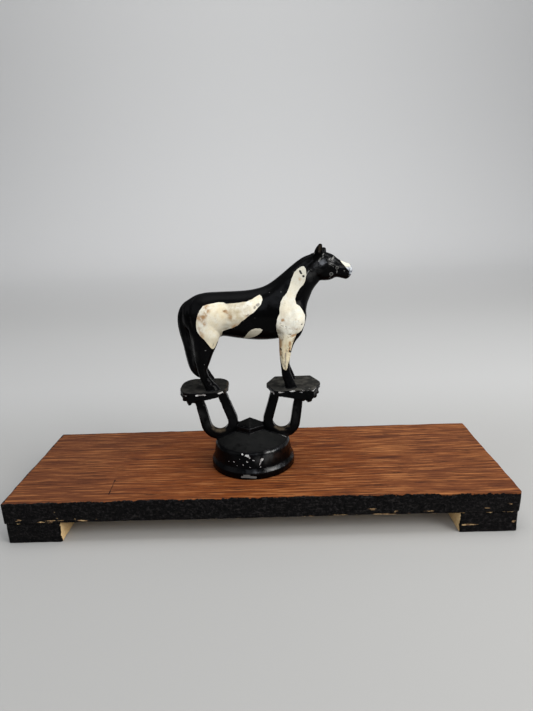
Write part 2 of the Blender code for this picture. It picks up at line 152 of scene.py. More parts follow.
# Leg rows have a fifth value: the way out from the middle as a share of half the stance
HIND_LEG = (
    (-21.2, 36.0, 8.6, 5.0, 0.62), (-21.7, 27.4, 7.4, 4.6, 0.76), (-23.2, 20.6, 5.5, 3.7, 0.88),
    (-24.1, 15.6, 4.0, 3.0, 0.96), (-25.0, 10.6, 2.5, 2.6, 1.0), (-24.6, 6.8, 2.3, 2.4, 1.0),
    (-23.6, 4.0, 2.5, 2.6, 1.0), (-22.2, 0.4, 3.1, 3.0, 1.0),
)
FORE_LEG = (
    (22.8, 37.4, 7.0, 4.6, 0.60), (21.6, 30.4, 6.6, 4.4, 0.70), (20.0, 24.8, 4.2, 3.5, 0.83),
    (19.0, 19.8, 3.2, 2.9, 0.92), (18.6, 14.8, 2.5, 2.6, 0.97), (18.7, 10.6, 2.2, 2.1, 1.0),
    (19.2, 6.9, 2.4, 2.4, 1.0), (20.3, 3.8, 2.5, 2.6, 1.0), (21.3, 0.4, 2.8, 2.8, 1.0),
)
# Ear rows have a fifth value: the way out from the middle
NEAR_EAR = (
    (36.1, 65.0, 2.4, 1.5, -2.8), (36.4, 67.8, 2.1, 1.3, -3.1), (36.9, 69.8, 1.5, 1.0, -3.3),
    (37.3, 70.9, 1.0, 0.8, -3.3),
)
FAR_EAR = ((38.3, 65.2, 1.9, 1.2, 2.6), (39.2, 67.5, 1.6, 1.1, 3.0), (39.5, 68.4, 1.2, 0.9, 3.0))
HALF_STANCE = 7.0
NEAR_HIND_LEAD = 2.9
RING_SIDES = 28
RING_STEPS = 4
CAP_RINGS = 4

# Carving: the view that it is drawn in, its points in that view, its reach and its height
CARVING = (
    # Tail against the rump, and the hollow between the tail and the thigh
    ("sides", (
        (-26.3, 91.2), (-27.8, 89.3), (-28.4, 86.5), (-28.7, 82.8), (-28.4, 79.5), (-27.3, 76.8),
        (-25.8, 74.4),
    ), 1.3, -0.6),
    ("sides", ((-30.8, 75.9), (-30.0, 71.6), (-29.5, 67.6), (-29.1, 63.6), (-28.7, 60.6)), 1.2, -0.5),
    ("sides", ((-25.1, 69.4), (-25.5, 65.6), (-27.5, 61.2)), 1.1, -0.4),
    ("sides", ((-27.8, 70.0), (-27.9, 66.5), (-28.2, 62.8)), 1.7, -0.6),
    # Thigh, flank and stifle
    ("sides", ((-18.8, 84.0), (-17.5, 78.0)), 8.5, 0.5),
    ("sides", ((-10.2, 87.0), (-9.4, 83.5), (-9.0, 79.0), (-10.4, 75.5)), 2.6, -0.6),
    ("sides", ((-14.3, 75.5), (-16.2, 71.5)), 3.2, 0.35),
    ("sides", ((-20.5, 70.0), (-22.5, 64.0)), 2.2, -0.25),
    # Ribs, and the crease behind the shoulder
    ("sides", ((-1.0, 82.5), (7.0, 82.0)), 8.0, 0.3),
    ("sides", ((14.2, 89.0), (13.4, 84.5), (13.0, 79.0), (13.4, 74.0)), 2.3, -0.5),
    # Shoulder blade, point of the shoulder and elbow
    ("sides", ((21.8, 95.0), (19.6, 90.0), (18.4, 84.5)), 2.4, 0.4),
    ("sides", ((21.2, 87.0), (22.4, 83.5), (22.9, 80.0)), 1.5, -0.4),
    ("sides", ((26.0, 79.0), (25.0, 76.5)), 3.4, 0.5),
    ("sides", ((17.0, 75.5),), 2.8, 0.45),
    ("sides", ((15.2, 72.0), (19.0, 71.2), (24.6, 71.9)), 1.2, -0.5),
    ("sides", ((19.4, 67.5), (19.0, 62.5), (18.8, 58.8)), 1.0, -0.3),
    # Neck
    ("sides", ((26.0, 88.0), (29.0, 94.0), (31.6, 99.5)), 2.0, -0.35),
    ("sides", ((21.5, 100.0), (27.5, 104.9), (33.0, 108.6)), 1.5, -0.3),
    ("sides", ((23.0, 102.6), (29.5, 107.2)), 1.3, 0.2),
    # Cheek, jaw, cheekbone and the hollows beside it
    ("sides", ((35.2, 107.9), (34.0, 105.4), (33.6, 103.0), (34.3, 100.5), (36.3, 99.0)), 1.1, -0.5),
    ("sides", ((37.6, 103.4),), 4.0, 0.5),
    ("sides", ((39.8, 106.6), (42.4, 105.4), (45.0, 104.2), (46.8, 102.9)), 1.3, 0.3),
    ("sides", ((44.9, 106.6), (47.2, 104.8)), 1.1, -0.3),
    ("sides", ((41.5, 102.6), (45.8, 101.9)), 1.3, -0.35),
    # Eye, brow, nostril and mouth
    ("sides", ((43.2, 107.1),), 1.7, -0.25),
    ("sides", ((43.2, 107.1),), 0.9, 0.3),
    ("sides", ((41.9, 108.5), (43.3, 108.3), (44.5, 107.5)), 1.0, 0.1),
    ("sides", ((51.1, 103.2),), 0.8, -0.7),
    ("sides", ((50.2, 104.0), (51.2, 104.4), (51.9, 103.7)), 0.6, 0.25),
    ("sides", ((47.3, 101.2), (50.4, 101.3), (52.2, 101.0)), 0.5, -0.45),
    ("sides", ((49.6, 99.7),), 1.3, 0.2),
    # Ear hollows, and the poll between the ears
    ("near", ((36.8, 112.0), (37.3, 114.0)), 0.8, -0.9),
    ("far", ((39.2, 110.8), (39.6, 112.2)), 0.7, -0.6),
    # Legs: hocks, tendons, knees and the tops of the hooves
    ("sides", ((-22.9, 58.5), (-23.8, 54.0), (-22.6, 50.0)), 0.8, -0.3),
    ("sides", ((-26.0, 60.0),), 1.8, 0.35),
    ("sides", ((19.8, 59.0),), 1.9, 0.3),
    ("sides", ((18.1, 56.0), (18.5, 52.5), (19.2, 50.0)), 0.7, -0.3),
    ("sides", ((19.4, 47.4), (22.8, 48.0)), 0.6, -0.35),
    ("near", ((-21.4, 47.4), (-17.6, 47.8)), 0.6, -0.35),
    ("far", ((-23.4, 47.4), (-19.6, 47.8)), 0.6, -0.35),
    # Strands of the tail
    ("sides", (
        (-31.9, 85.0), (-33.3, 79.0), (-32.6, 71.0), (-31.2, 63.0), (-29.6, 55.5), (-27.5, 51.8),
    ), 0.7, -0.22),
    ("sides", ((-34.2, 82.0), (-34.8, 77.0), (-34.0, 70.0), (-32.4, 62.0), (-30.9, 55.5)), 0.6, -0.25),
    ("rear", ((0.2, 90.0), (-0.4, 80.0), (0.3, 70.0), (-0.2, 60.0), (0.4, 52.0)), 0.6, -0.3),
    ("rear", ((-1.5, 88.0), (-1.7, 78.0), (-1.4, 66.0), (-2.0, 53.0)), 0.5, -0.25),
    ("rear", ((1.6, 88.0), (1.5, 76.0), (1.8, 64.0), (2.2, 53.0)), 0.5, -0.25),
    # Chest
    ("front", ((0.0, 86.0), (0.0, 74.0)), 1.6, -0.6),
    ("front", ((-3.2, 80.0), (-3.4, 76.0)), 2.4, 0.35),
    ("front", ((3.2, 80.0), (3.4, 76.0)), 2.4, 0.35),
)
VIEWS = {
    "near": ((0, 2), (0.0, -1.0, 0.0)),
    "far": ((0, 2), (0.0, 1.0, 0.0)),
    "rear": ((1, 2), (-1.0, 0.0, 0.0)),
    "front": ((1, 2), (1.0, 0.0, 0.0)),
}

# Cream patches: the sides that they are on and their outlines in the side view
PATCHES = (
    ("near", (
        (-24.6, 79.9), (-24.2, 81.8), (-23.5, 83.7), (-22.6, 85.6), (-20.9, 87.6), (-19.0, 88.2),
        (-16.1, 88.7), (-13.2, 89.1), (-10.8, 89.0), (-9.5, 88.3), (-7.4, 88.4), (-4.5, 88.5), (0.4, 89.0),
        (3.3, 89.9), (5.2, 91.0), (7.0, 91.9), (8.0, 91.2), (8.4, 89.6), (7.5, 87.3), (5.8, 85.7),
        (4.2, 84.0), (1.5, 82.4), (-0.4, 80.8), (-2.4, 79.5), (-4.3, 77.5), (-6.8, 76.3), (-9.3, 75.4),
        (-11.8, 74.5), (-12.6, 72.6), (-13.6, 70.8), (-15.2, 68.7), (-15.9, 67.0), (-16.8, 65.7),
        (-17.7, 65.8), (-18.8, 67.4), (-19.7, 69.0), (-21.2, 71.1), (-23.2, 73.3), (-24.6, 75.4),
        (-24.8, 77.5),
    )),
    ("near", (
        (29.1, 104.9), (27.8, 104.7), (25.9, 103.6), (24.4, 102.0), (22.9, 99.1), (21.9, 95.8),
        (20.4, 92.5), (18.6, 90.6), (17.3, 88.4), (16.7, 85.6), (16.5, 82.6), (15.4, 80.4), (14.7, 76.9),
        (14.9, 73.7), (15.4, 71.6), (15.6, 70.5), (15.6, 68.2), (15.7, 64.4), (16.0, 60.6), (16.6, 57.9),
        (17.1, 56.2), (17.6, 54.4), (18.4, 53.6), (19.3, 53.8), (19.8, 55.2), (20.2, 57.2), (21.0, 58.9),
        (21.6, 61.3), (21.9, 64.2), (22.7, 67.2), (23.7, 69.6), (24.7, 72.1), (27.2, 73.5), (28.6, 75.4),
        (29.2, 77.6), (29.3, 80.6), (28.0, 83.6), (26.7, 85.6), (24.9, 86.9), (24.4, 89.3), (25.1, 91.5),
        (26.8, 94.3), (28.8, 96.2), (29.7, 98.2), (30.2, 100.6), (30.1, 103.5),
    )),
    ("near", (
        (-2.0, 70.0), (-0.6, 71.7), (0.7, 73.6), (2.4, 75.0), (4.4, 75.7), (6.8, 75.5), (8.0, 74.7),
        (7.0, 73.3), (5.8, 72.1), (3.3, 70.6), (0.2, 69.7),
    )),
    ("sides", (
        (46.7, 107.5), (48.4, 107.3), (50.0, 107.0), (52.6, 106.0), (53.6, 104.0), (53.6, 101.5),
        (52.6, 99.9), (51.5, 99.7), (51.2, 100.5), (51.5, 101.5), (50.9, 102.0), (50.0, 102.9),
        (49.2, 104.2), (48.3, 105.2), (47.6, 105.9),
    )),
    ("far", (
        (-22.5, 80.0), (-21.5, 86.0), (-16.0, 89.5), (-9.0, 88.5), (-5.0, 84.0), (-7.5, 78.5),
        (-13.0, 75.0), (-19.0, 73.0), (-22.5, 75.5),
    )),
    ("far", (
        (27.5, 102.5), (23.5, 99.5), (21.0, 93.0), (17.8, 88.0), (17.0, 81.0), (16.2, 75.0), (18.0, 70.5),
        (22.5, 72.5), (27.0, 76.0), (27.5, 82.0), (24.5, 88.0), (27.0, 94.5), (29.0, 99.0),
    )),
)
# Dark chips in the cream: side-view points and half width
CHIPS = (
    (((27.1, 102.6), (27.7, 101.6)), 0.52), (((28.8, 100.1),), 0.62), (((27.4, 76.8),), 0.38),
    (((21.1, 63.5), (21.5, 63.0)), 0.45), (((16.7, 64.9), (16.8, 64.2)), 0.35),
    (((19.2, 76.2), (19.8, 76.0)), 0.16), (((17.0, 76.8), (18.2, 76.5)), 0.14),
    (((20.6, 66.4), (20.9, 65.0)), 0.2), (((16.9, 61.6),), 0.3), (((19.4, 87.7),), 0.14),
)
# Grey chips where the paint is worn thin
THIN_CHIPS = (
    (((6.5, 87.5), (5.8, 87.2)), 0.75), (((4.7, 86.3), (4.4, 85.9)), 0.6),
    (((1.4, 82.9), (0.6, 82.5)), 0.5), (((21.4, 72.2),), 0.35),
    (((18.9, 62.5), (18.7, 58.0), (18.5, 55.4)), 0.34), (((-16.9, 68.3), (-17.2, 67.3)), 0.3),
)
# Brown stains on the cream: side-view points, reach and strength
STAINS = (
    (((18.1, 79.5),), 1.3, 1.0), (((-10.3, 84.9),), 1.1, 1.2),
    (((-23.2, 81.7), (-21.2, 82.2), (-19.8, 83.8), (-18.8, 85.2), (-19.2, 87.0)), 2.1, 0.62),
    (((-22.6, 82.2), (-20.7, 79.1)), 2.2, 0.5), (((-9.7, 84.6), (-8.2, 82.9), (-7.0, 80.8)), 1.8, 0.5),
    (((-4.6, 78.0), (-6.6, 76.7)), 1.4, 0.5), (((26.9, 98.8),), 1.4, 0.55), (((0.5, 82.7),), 1.6, 0.5),
    (((24.2, 71.6), (22.4, 71.4)), 0.9, 0.7), (((16.6, 70.0), (16.2, 61.0)), 1.5, 0.6),
    (((19.0, 67.0), (19.0, 60.0)), 1.2, 0.3), (((21.3, 68.0), (21.0, 63.5)), 1.0, 0.8),
    (((24.5, 79.5),), 1.2, 0.3), (((-3.6, 86.5),), 1.6, 0.3), (((-23.5, 76.5), (-22.0, 72.5)), 2.2, 0.4),
    (((22.0, 75.0), (26.0, 74.6)), 1.4, 0.35), (((-20.4, 86.6), (-17.5, 86.0)), 1.2, 0.35),
)
# Bare metal on the front of the base: from and to, each an angle in degrees and a height, and half size
BASE_CHIPS = (
    ((15.6, 10.0), (13.2, 8.6), 0.6), ((14.0, 9.0), (11.6, 7.2), 0.5), ((12.8, 6.3), (12.6, 6.0), 0.26),
    ((-8.2, 12.3), (-4.8, 12.2), 0.4), ((-5.0, 11.8), (-2.6, 11.0), 0.42), ((-7.1, 9.4), (-6.0, 9.0), 0.34),
    ((-12.3, 7.4), (-11.8, 7.1), 0.26), ((-26.3, 8.3), (-25.8, 8.1), 0.24),
    ((-13.8, 12.8), (-12.9, 12.6), 0.36), ((1.6, 9.9), (4.0, 9.6), 0.2), ((-35.6, 8.1), (-35.2, 7.9), 0.18),
    ((-21.3, 6.7), (-21.0, 6.5), 0.2), ((-2.6, 6.3), (-2.2, 6.1), 0.18),
    ((-17.5, 10.2), (-17.2, 10.0), 0.18),
)
# Paint worn off the platforms' front edges: from and to along X, height and half size
PLATFORM_CHIPS = (
    ((-27.0, -22.4), 42.6, 0.42), ((-15.8, -13.6), 43.1, 0.34), ((-33.4, -32.2), 42.2, 0.34),
    ((20.6, 24.0), 43.35, 0.2), ((25.2, 26.8), 42.5, 0.32), ((25.6, 33.8), 43.4, 0.22),
    ((31.4, 32.6), 43.2, 0.3), ((15.3, 17.6), 43.0, 0.36), ((11.0, 12.4), 42.2, 0.4),
    ((18.6, 19.4), 43.3, 0.2),
)
# Marks in the black paint of head, body and base, and one painted glint below the eye: side-view points and
# half width
PALE_MARKS_AND_GLINT = (
    (((36.4, 107.1), (37.3, 108.5)), 0.3), (((42.9, 107.4), (43.8, 108.6)), 0.36),
    # Painted glint below the eye
    (((41.3, 105.7), (42.4, 105.0), (43.5, 104.1)), 0.22),
    ((
        (44.7, 103.9), (45.2, 104.2), (45.8, 103.9), (45.8, 103.1), (45.2, 102.8), (44.7, 103.1),
        (44.7, 103.9),
    ), 0.16),
    (((45.3, 101.9), (45.2, 101.0)), 0.2), (((49.0, 101.8),), 0.34), (((51.5, 99.4),), 0.36),
    (((48.5, 97.4),), 0.2), (((34.5, 111.6), (34.2, 110.6)), 0.18), (((38.2, 109.9), (39.0, 110.4)), 0.2),
    (((31.6, 102.7), (30.7, 101.6), (30.3, 100.6)), 0.24), (((38.6, 113.4), (39.6, 112.6)), 0.3),
    (((-21.1, 65.4), (-20.7, 65.4)), 0.2), (((-22.0, 58.0),), 0.22), (((17.6, 93.0),), 0.18),
    (((11.9, 92.8),), 0.16), (((4.4, 81.2),), 0.16),
    ((
        (42.3, 101.3), (43.1, 101.0), (43.2, 100.3), (42.5, 99.9), (41.8, 100.2), (41.7, 100.9),
        (42.3, 101.3),
    ), 0.28),
    (((-5.2, 1.3), (-2.0, 1.7)), 0.6), (((-2.2, 1.6), (1.8, 1.2)), 0.65), (((-4.2, 2.4), (-1.0, 2.5)), 0.3),
    (((41.6, 98.6), (42.4, 99.4)), 0.16),
)
# Brownish places with no gloss: side-view points, reach and strength
BROWN_PLACES = (
    (((-21.2, 20.9), (-19.4, 19.0), (-17.3, 18.5), (-15.0, 19.1)), 1.3, 0.7),
    (((12.8, 20.2), (15.0, 18.8), (17.4, 18.7), (19.4, 20.0)), 1.3, 0.8),
    (((36.7, 112.0), (37.2, 114.2)), 1.1, 0.22), (((-11.9, 43.0), (-12.6, 41.8)), 1.2, 0.8),
)
# Broad sheens on the black paint: side-view points, reach and strength
POLISHED_PLACES = (
    (((5.0, 10.0), (11.0, 11.4), (17.0, 13.0)), 4.2, 1.4),
    (((2.0, 3.4), (12.0, 3.8), (22.0, 3.4)), 1.7, 0.55),
    (((41.5, 107.6), (38.5, 106.2), (35.0, 103.6), (31.8, 100.0)), 3.4, 1.1), (((-1.0, 22.5),), 7.0, 0.2),
    (((-27.5, 30.0), (-22.5, 22.0)), 2.4, 0.5), (((-12.5, 31.0), (-9.5, 23.0)), 2.0, 0.2),
    (((24.0, 31.0), (23.0, 22.0)), 2.0, 0.3), (((-27.5, 62.0), (-29.0, 70.0)), 4.0, 0.4),
)

# Wooden stand
BOARD_SKEW = 0.0008
EDGE_WEAR = 0.0007
EDGE_WAVE = 0.0004
RIGHT_CORNER_ROUND = 0.0012
LEFT_CORNER_ROUND = 0.0008
FINE_GRID = 0.00025
FINE_BAND = 0.0015
PAINT_SPILL = 0.6
# Millimetres by which the stain reaches down over the board's edge toward the right end
RIGHT_REVEAL = 1.6
# Bare wood where the black paint of the stand's front has chipped: x, height, half length and half height
WOOD_CHIPS = (
    (-0.101, 0.0125, 0.0042, 0.0006), (-0.087, 0.012, 0.005, 0.0006), (-0.0995, 0.0172, 0.001, 0.0004),
    (-0.1175, 0.0132, 0.0016, 0.0005), (-0.01, 0.015, 0.002, 0.0004), (0.002, 0.013, 0.0034, 0.0004),
    (0.054, 0.0146, 0.002, 0.0006), (0.065, 0.0128, 0.0028, 0.0005), (0.082, 0.0128, 0.003, 0.0004),
    (0.1, 0.0044, 0.0042, 0.0008), (0.12, 0.0158, 0.0012, 0.0005), (0.1215, 0.0138, 0.0018, 0.0005),
    (0.119, 0.008, 0.002, 0.0004), (0.1225, 0.0056, 0.0012, 0.0009), (0.109, 0.0135, 0.0016, 0.0004),
    (0.034, 0.0115, 0.012, 0.0003), (0.062, 0.0115, 0.01, 0.0003), (-0.078, 0.0124, 0.003, 0.0005),
    (-0.106, 0.0116, 0.004, 0.0004),
)
BOARD_TOP = 0.0219
SCRATCH = ((-0.0741, -0.0335, BOARD_TOP), (-0.0750, -0.0195, BOARD_TOP))
BASE_ON_BOARD = (CASTING_X, CASTING_Y, BOARD_TOP)

# Camera
CAMERA_PLACE = Vector((0.0115, -0.2668, 0.1578))
CAMERA_YAW = 1.27
CAMERA_PITCH = 16.06
CAMERA_ROLL = -2.17
CAMERA_LENS = 27.01

# Pale floor that sweeps up behind the object
SWEEP_FRONT = -2.5
SWEEP_BACK = 0.9
SWEEP_BEND = 0.6
SWEEP_BEND_STEPS = 12
SWEEP_TOP = 3.0
SWEEP_HALF_WIDTH = 4.0


def rows_between(rows, steps):
    """Smooth rows through the given ones, with steps rows for each gap."""
    rows = np.array(rows, float)
    dense = []
    for place in range(len(rows) - 1):
        before = rows[max(place - 1, 0)]
        start, end = rows[place], rows[place + 1]
        after = rows[min(place + 2, len(rows) - 1)]
        for share in np.arange(steps) / steps:
            bend = (2 * before - 5 * start + 4 * end - after) * share ** 2
            twist = (3 * start - before - 3 * end + after) * share ** 3
            dense.append(0.5 * (2 * start + (end - before) * share + bend + twist))
    dense.append(rows[-1])
    return dense


def form(name, points, faces, group):
    mesh = bpy.data.meshes.new(name)
    mesh.from_pydata([tuple(point) for point in points], [], faces)
    shape = bmesh.new()
    shape.from_mesh(mesh)
    bmesh.ops.triangulate(shape, faces=[face for face in shape.faces if len(face.verts) > 4])
    bmesh.ops.recalc_face_normals(shape, faces=shape.faces)
    shape.to_mesh(mesh)
    shape.free()
    thing = bpy.data.objects.new(name, mesh)
    group.objects.link(thing)


def tube_faces(rings, sides):
    faces = [tuple(range(sides)), tuple(range((rings - 1) * sides, rings * sides))]
    for ring in range(rings - 1):
        for side in range(sides):
            low = ring * sides
            after = (side + 1) % sides
            faces.append((low + side, low + after, low + sides + after, low + sides + side))
    return faces


def limb(name, rows, end_round, group, flat_end=False):
    """Loft through rows of x, y, z, half size in the side view and half width, with rounded ends."""
    dense = rows_between(rows, RING_STEPS)
    rings = []
    for place, row in enumerate(dense):
        ahead = Vector(dense[min(place + 1, len(dense) - 1)][:3])
        behind = Vector(dense[max(place - 1, 0)][:3])
        rings.append((Vector(row[:3]), (ahead - behind).normalized(), row[3], row[4]))
    caps = {-1: [], 1: []}
    for way, (centre, heading, half_long, half_wide) in ((-1, rings[0]), (1, rings[-1])):
        for step in range(1, CAP_RINGS + 1):
            turn = math.radians(90 * step / (CAP_RINGS + 1))
            place = centre + heading * (way * half_long * end_round * math.sin(turn))
            caps[way].append((place, heading, half_long * math.cos(turn), half_wide * math.cos(turn)))
    rings = caps[-1][::-1] + rings + ([] if flat_end else caps[1])
    points = []
    for centre, heading, half_long, half_wide in rings:
        upward = heading.cross(Vector((0.0, 1.0, 0.0))).normalized()
        across = upward.cross(heading).normalized()
        for side in range(RING_SIDES):
            turn = 2 * math.pi * side / RING_SIDES
            points.append(centre + upward * half_long * math.cos(turn) + across * half_wide * math.sin(turn))
    form(name, points, tube_faces(len(rings), RING_SIDES), group)


def middle_rows(rows):
    return [(x, 0.0, PLATFORM_TOP + height, half_long, half_wide) for x, height, half_long, half_wide in rows]


def ear_rows(rows):
    return [
        (x, aside, PLATFORM_TOP + height, half_long, half_wide)
        for x, height, half_long, half_wide, aside in rows
    ]


def leg_rows(rows, side, lead):
    """lead carries the hoof forward, in proportion to the square of the way down the leg."""
    placed = []
    for x, height, half_long, half_wide, share_out in rows:
        drop = 1.0 - height / rows[0][1]
        placed.append((
            x + lead * drop ** 2, side * share_out * HALF_STANCE, PLATFORM_TOP + height, half_long, half_wide,
        ))
    return placed


def hoof(name, x, y, size, group):
    """Hoof that flares to the ground, with a clear top edge."""
    rings = ((0.0, 3.7, 3.2, 0.3), (0.5, 3.7, 3.2, 0.2), (3.2, 3.0, 2.75, -0.9), (3.5, 2.5, 2.3, -1.1))
    rings = [
        (height, half_long * size, half_wide * size, shift) for height, half_long, half_wide, shift in rings
    ]
    points = []
    for height, half_long, half_wide, shift in rings:
        for side in range(RING_SIDES):
            turn = 2 * math.pi * side / RING_SIDES
            points.append((
                x + shift + half_long * math.cos(turn), y + half_wide * math.sin(turn),
                PLATFORM_TOP - 0.3 + height,
            ))
    form(name, points, tube_faces(len(rings), RING_SIDES), group)


def horseshoe(name, middle, lean, group):
    path = [(-1, step / 4, None) for step in (4, 3, 2, 1)]
    path += [(0, 0.0, math.pi * step / 20) for step in range(21)]
    path += [(1, step / 4, None) for step in (1, 2, 3, 4)]
    lean = math.radians(lean)
    corner = SHOE_DEPTH / 2 - SHOE_EDGE_ROUND
    points = []
    for side, share, turn in path:
        inner = SHOE_TOE_INNER + (SHOE_HEEL_INNER - SHOE_TOE_INNER) * share
        outer = inner + SHOE_BAR_AT_TOE + (SHOE_BAR_AT_HEEL - SHOE_BAR_AT_TOE) * share
        direction = (side, 0.0) if turn is None else (-math.cos(turn), -math.sin(turn))
        lift = SHOE_ARM_LENGTH * share
        edge = SHOE_EDGE_ROUND
        half = SHOE_DEPTH / 2
        section = (
            (inner, -corner), (inner + edge, -half), (outer - edge, -half), (outer, -corner),
            (outer, corner), (outer - edge, half), (inner + edge, half), (inner, corner),
        )
        for reach, depth in section:
            flat_x = direction[0] * reach
            flat_z = direction[1] * reach + lift
            x = flat_x * math.cos(lean) + flat_z * math.sin(lean)
            z = flat_z * math.cos(lean) - flat_x * math.sin(lean)
            points.append((middle + x, depth, SHOE_TOE_HEIGHT + z))
    form(name, points, tube_faces(len(path), 8), group)


def platform_drop(along, length):
    """Thickness under the level top: grows toward the outer end, then lifts again."""
    fall = math.tan(math.radians(PLATFORM_UNDERSIDE_SLOPE))
    thickest_at = length * PLATFORM_THICKEST_SHARE
    if along <= thickest_at:
        return PLATFORM_INNER_THICKNESS + fall * along
    thickest = PLATFORM_INNER_THICKNESS + fall * thickest_at
    share = (along - thickest_at) / (length - thickest_at)
    return thickest + (PLATFORM_OUTER_THICKNESS - thickest) * share


def platform(name, inner_x, outer_x, corner_long, corner_deep, corner_steps, group):
    way = 1.0 if outer_x > inner_x else -1.0
    length = abs(outer_x - inner_x)
    half = PLATFORM_DEPTH / 2
    front = []
    for step in range(corner_steps, -1, -1):
        turn = math.radians(90 * step / corner_steps)
        front.append((corner_long * (1 - math.sin(turn)), -half + corner_deep * (1 - math.cos(turn))))
    plan = front + [(length * PLATFORM_THICKEST_SHARE, -half)]
    plan += [(length - along, depth) for along, depth in reversed(front)]
    plan += [(along, -depth) for along, depth in reversed(plan)]
    points = [(inner_x + way * along, depth, PLATFORM_TOP) for along, depth in plan]
    for along, depth in plan:
        points.append((
            inner_x + way * along, depth * PLATFORM_FOOT_SHRINK, PLATFORM_TOP - platform_drop(along, length),
        ))
    form(name, points, tube_faces(2, len(plan)), group)
    for number, (share, y, radius) in enumerate(LUMPS):
        along = length * share
        lump = bmesh.new()
        bmesh.ops.create_icosphere(lump, subdivisions=3, radius=radius)
        bmesh.ops.scale(lump, vec=(1.0, 1.3, 0.85), verts=lump.verts)
        place = (inner_x + way * along, y, PLATFORM_TOP - platform_drop(along, length) - radius * 0.2)
        bmesh.ops.translate(lump, vec=place, verts=lump.verts)
        mesh = bpy.data.meshes.new(f"{name}_lump_{number}")
        lump.to_mesh(mesh)
        lump.free()
        group.objects.link(bpy.data.objects.new(mesh.name, mesh))


def peak(group):
    corners = (
        (PEAK_X - PEAK_HALF_LENGTH, 0.0), (PEAK_X, -PEAK_HALF_DEPTH),
        (PEAK_X + PEAK_HALF_LENGTH, 0.0), (PEAK_X, PEAK_HALF_DEPTH),
    )
    points = [(x, y, DRUM_HEIGHT) for x, y in corners] + [(x, y, PEAK_SHOULDER) for x, y in corners]
    points.append((PEAK_X, 0.0, PEAK_HEIGHT))
    faces = [(0, 1, 2, 3)]
    for side in range(4):
        after = (side + 1) % 4
        faces += [(side, after, 4 + after, 4 + side), (4 + side, 4 + after, 8)]
    form("peak", points, faces, group)


def dome_height(reach):
    return DRUM_HEIGHT + DOME_RISE * (1.0 - (reach / DRUM_RADIUS) ** 2)


def round_base(group):
    """Flanged foot, drum and domed top, turned about the upright axis."""
    profile = [(FLANGE_RADIUS, -UNDERSIDE_STOCK), (FLANGE_RADIUS, FLANGE_HEIGHT - FLANGE_EDGE_ROUND)]
    profile.append((FLANGE_RADIUS - FLANGE_EDGE_ROUND, FLANGE_HEIGHT))
    profile.append((DRUM_RADIUS + (FLANGE_RADIUS - DRUM_RADIUS) * DRUM_FLARE_SHARE, DRUM_FLARE_HEIGHT))
    rim_middle = DRUM_RADIUS - DRUM_RIM_ROUND
    rim_turn = math.atan2(DRUM_RADIUS ** 2, 2 * DOME_RISE * rim_middle)
    rim_reach = rim_middle + DRUM_RIM_ROUND * math.cos(rim_turn)
    rim_foot = dome_height(rim_reach) - DRUM_RIM_ROUND * math.sin(rim_turn)
    for step in range(7):
        turn = rim_turn * step / 6
        profile.append((
            rim_middle + DRUM_RIM_ROUND * math.cos(turn), rim_foot + DRUM_RIM_ROUND * math.sin(turn),
        ))
    for step in range(7, 0, -1):
        reach = rim_reach * step / 8
        profile.append((reach, dome_height(reach)))
    points = []
    for reach, height in profile:
        for side in range(BASE_SIDES):
            turn = 2 * math.pi * side / BASE_SIDES
            points.append((reach * math.cos(turn), reach * math.sin(turn), height))
    form("round_base", points, tube_faces(len(profile), BASE_SIDES), group)


def casting_forms(group):
    limb("trunk", middle_rows(TRUNK), 0.42, group)
    limb("neck", middle_rows(NECK), 0.5, group)
    limb("withers", middle_rows(WITHERS), 0.6, group)
    limb("head", middle_rows(HEAD), 0.62, group)
    limb("tail", middle_rows(TAIL), 0.7, group)
    limb("tail_web", middle_rows(TAIL_WEB), 0.5, group)
    limb("near_ear", ear_rows(NEAR_EAR), 0.8, group)
    limb("far_ear", ear_rows(FAR_EAR), 0.8, group)
    for name, side, lead in (("near", -1, NEAR_HIND_LEAD), ("far", 1, 0.0)):
        limb(f"{name}_hind_leg", leg_rows(HIND_LEG, side, lead), 0.8, group, True)
        limb(f"{name}_fore_leg", leg_rows(FORE_LEG, side, 0.0), 0.8, group, True)
    hoof("near_hind_hoof", HIND_LEG[-1][0] + NEAR_HIND_LEAD + 0.6, -HALF_STANCE, 0.92, group)
    hoof("near_fore_hoof", FORE_LEG[-1][0], -HALF_STANCE, 0.84, group)
    hoof("far_hind_hoof", HIND_LEG[-1][0] - 0.8, HALF_STANCE, 0.8, group)
    hoof("far_fore_hoof", FORE_LEG[-1][0] - 0.4, HALF_STANCE, 0.8, group)
    horseshoe("hind_shoe", *HIND_SHOE, group)
    horseshoe("fore_shoe", *FORE_SHOE, group)
    platform("hind_platform", *HIND_PLATFORM, group)
    platform("fore_platform", *FORE_PLATFORM, group)
    peak(group)
    round_base(group)


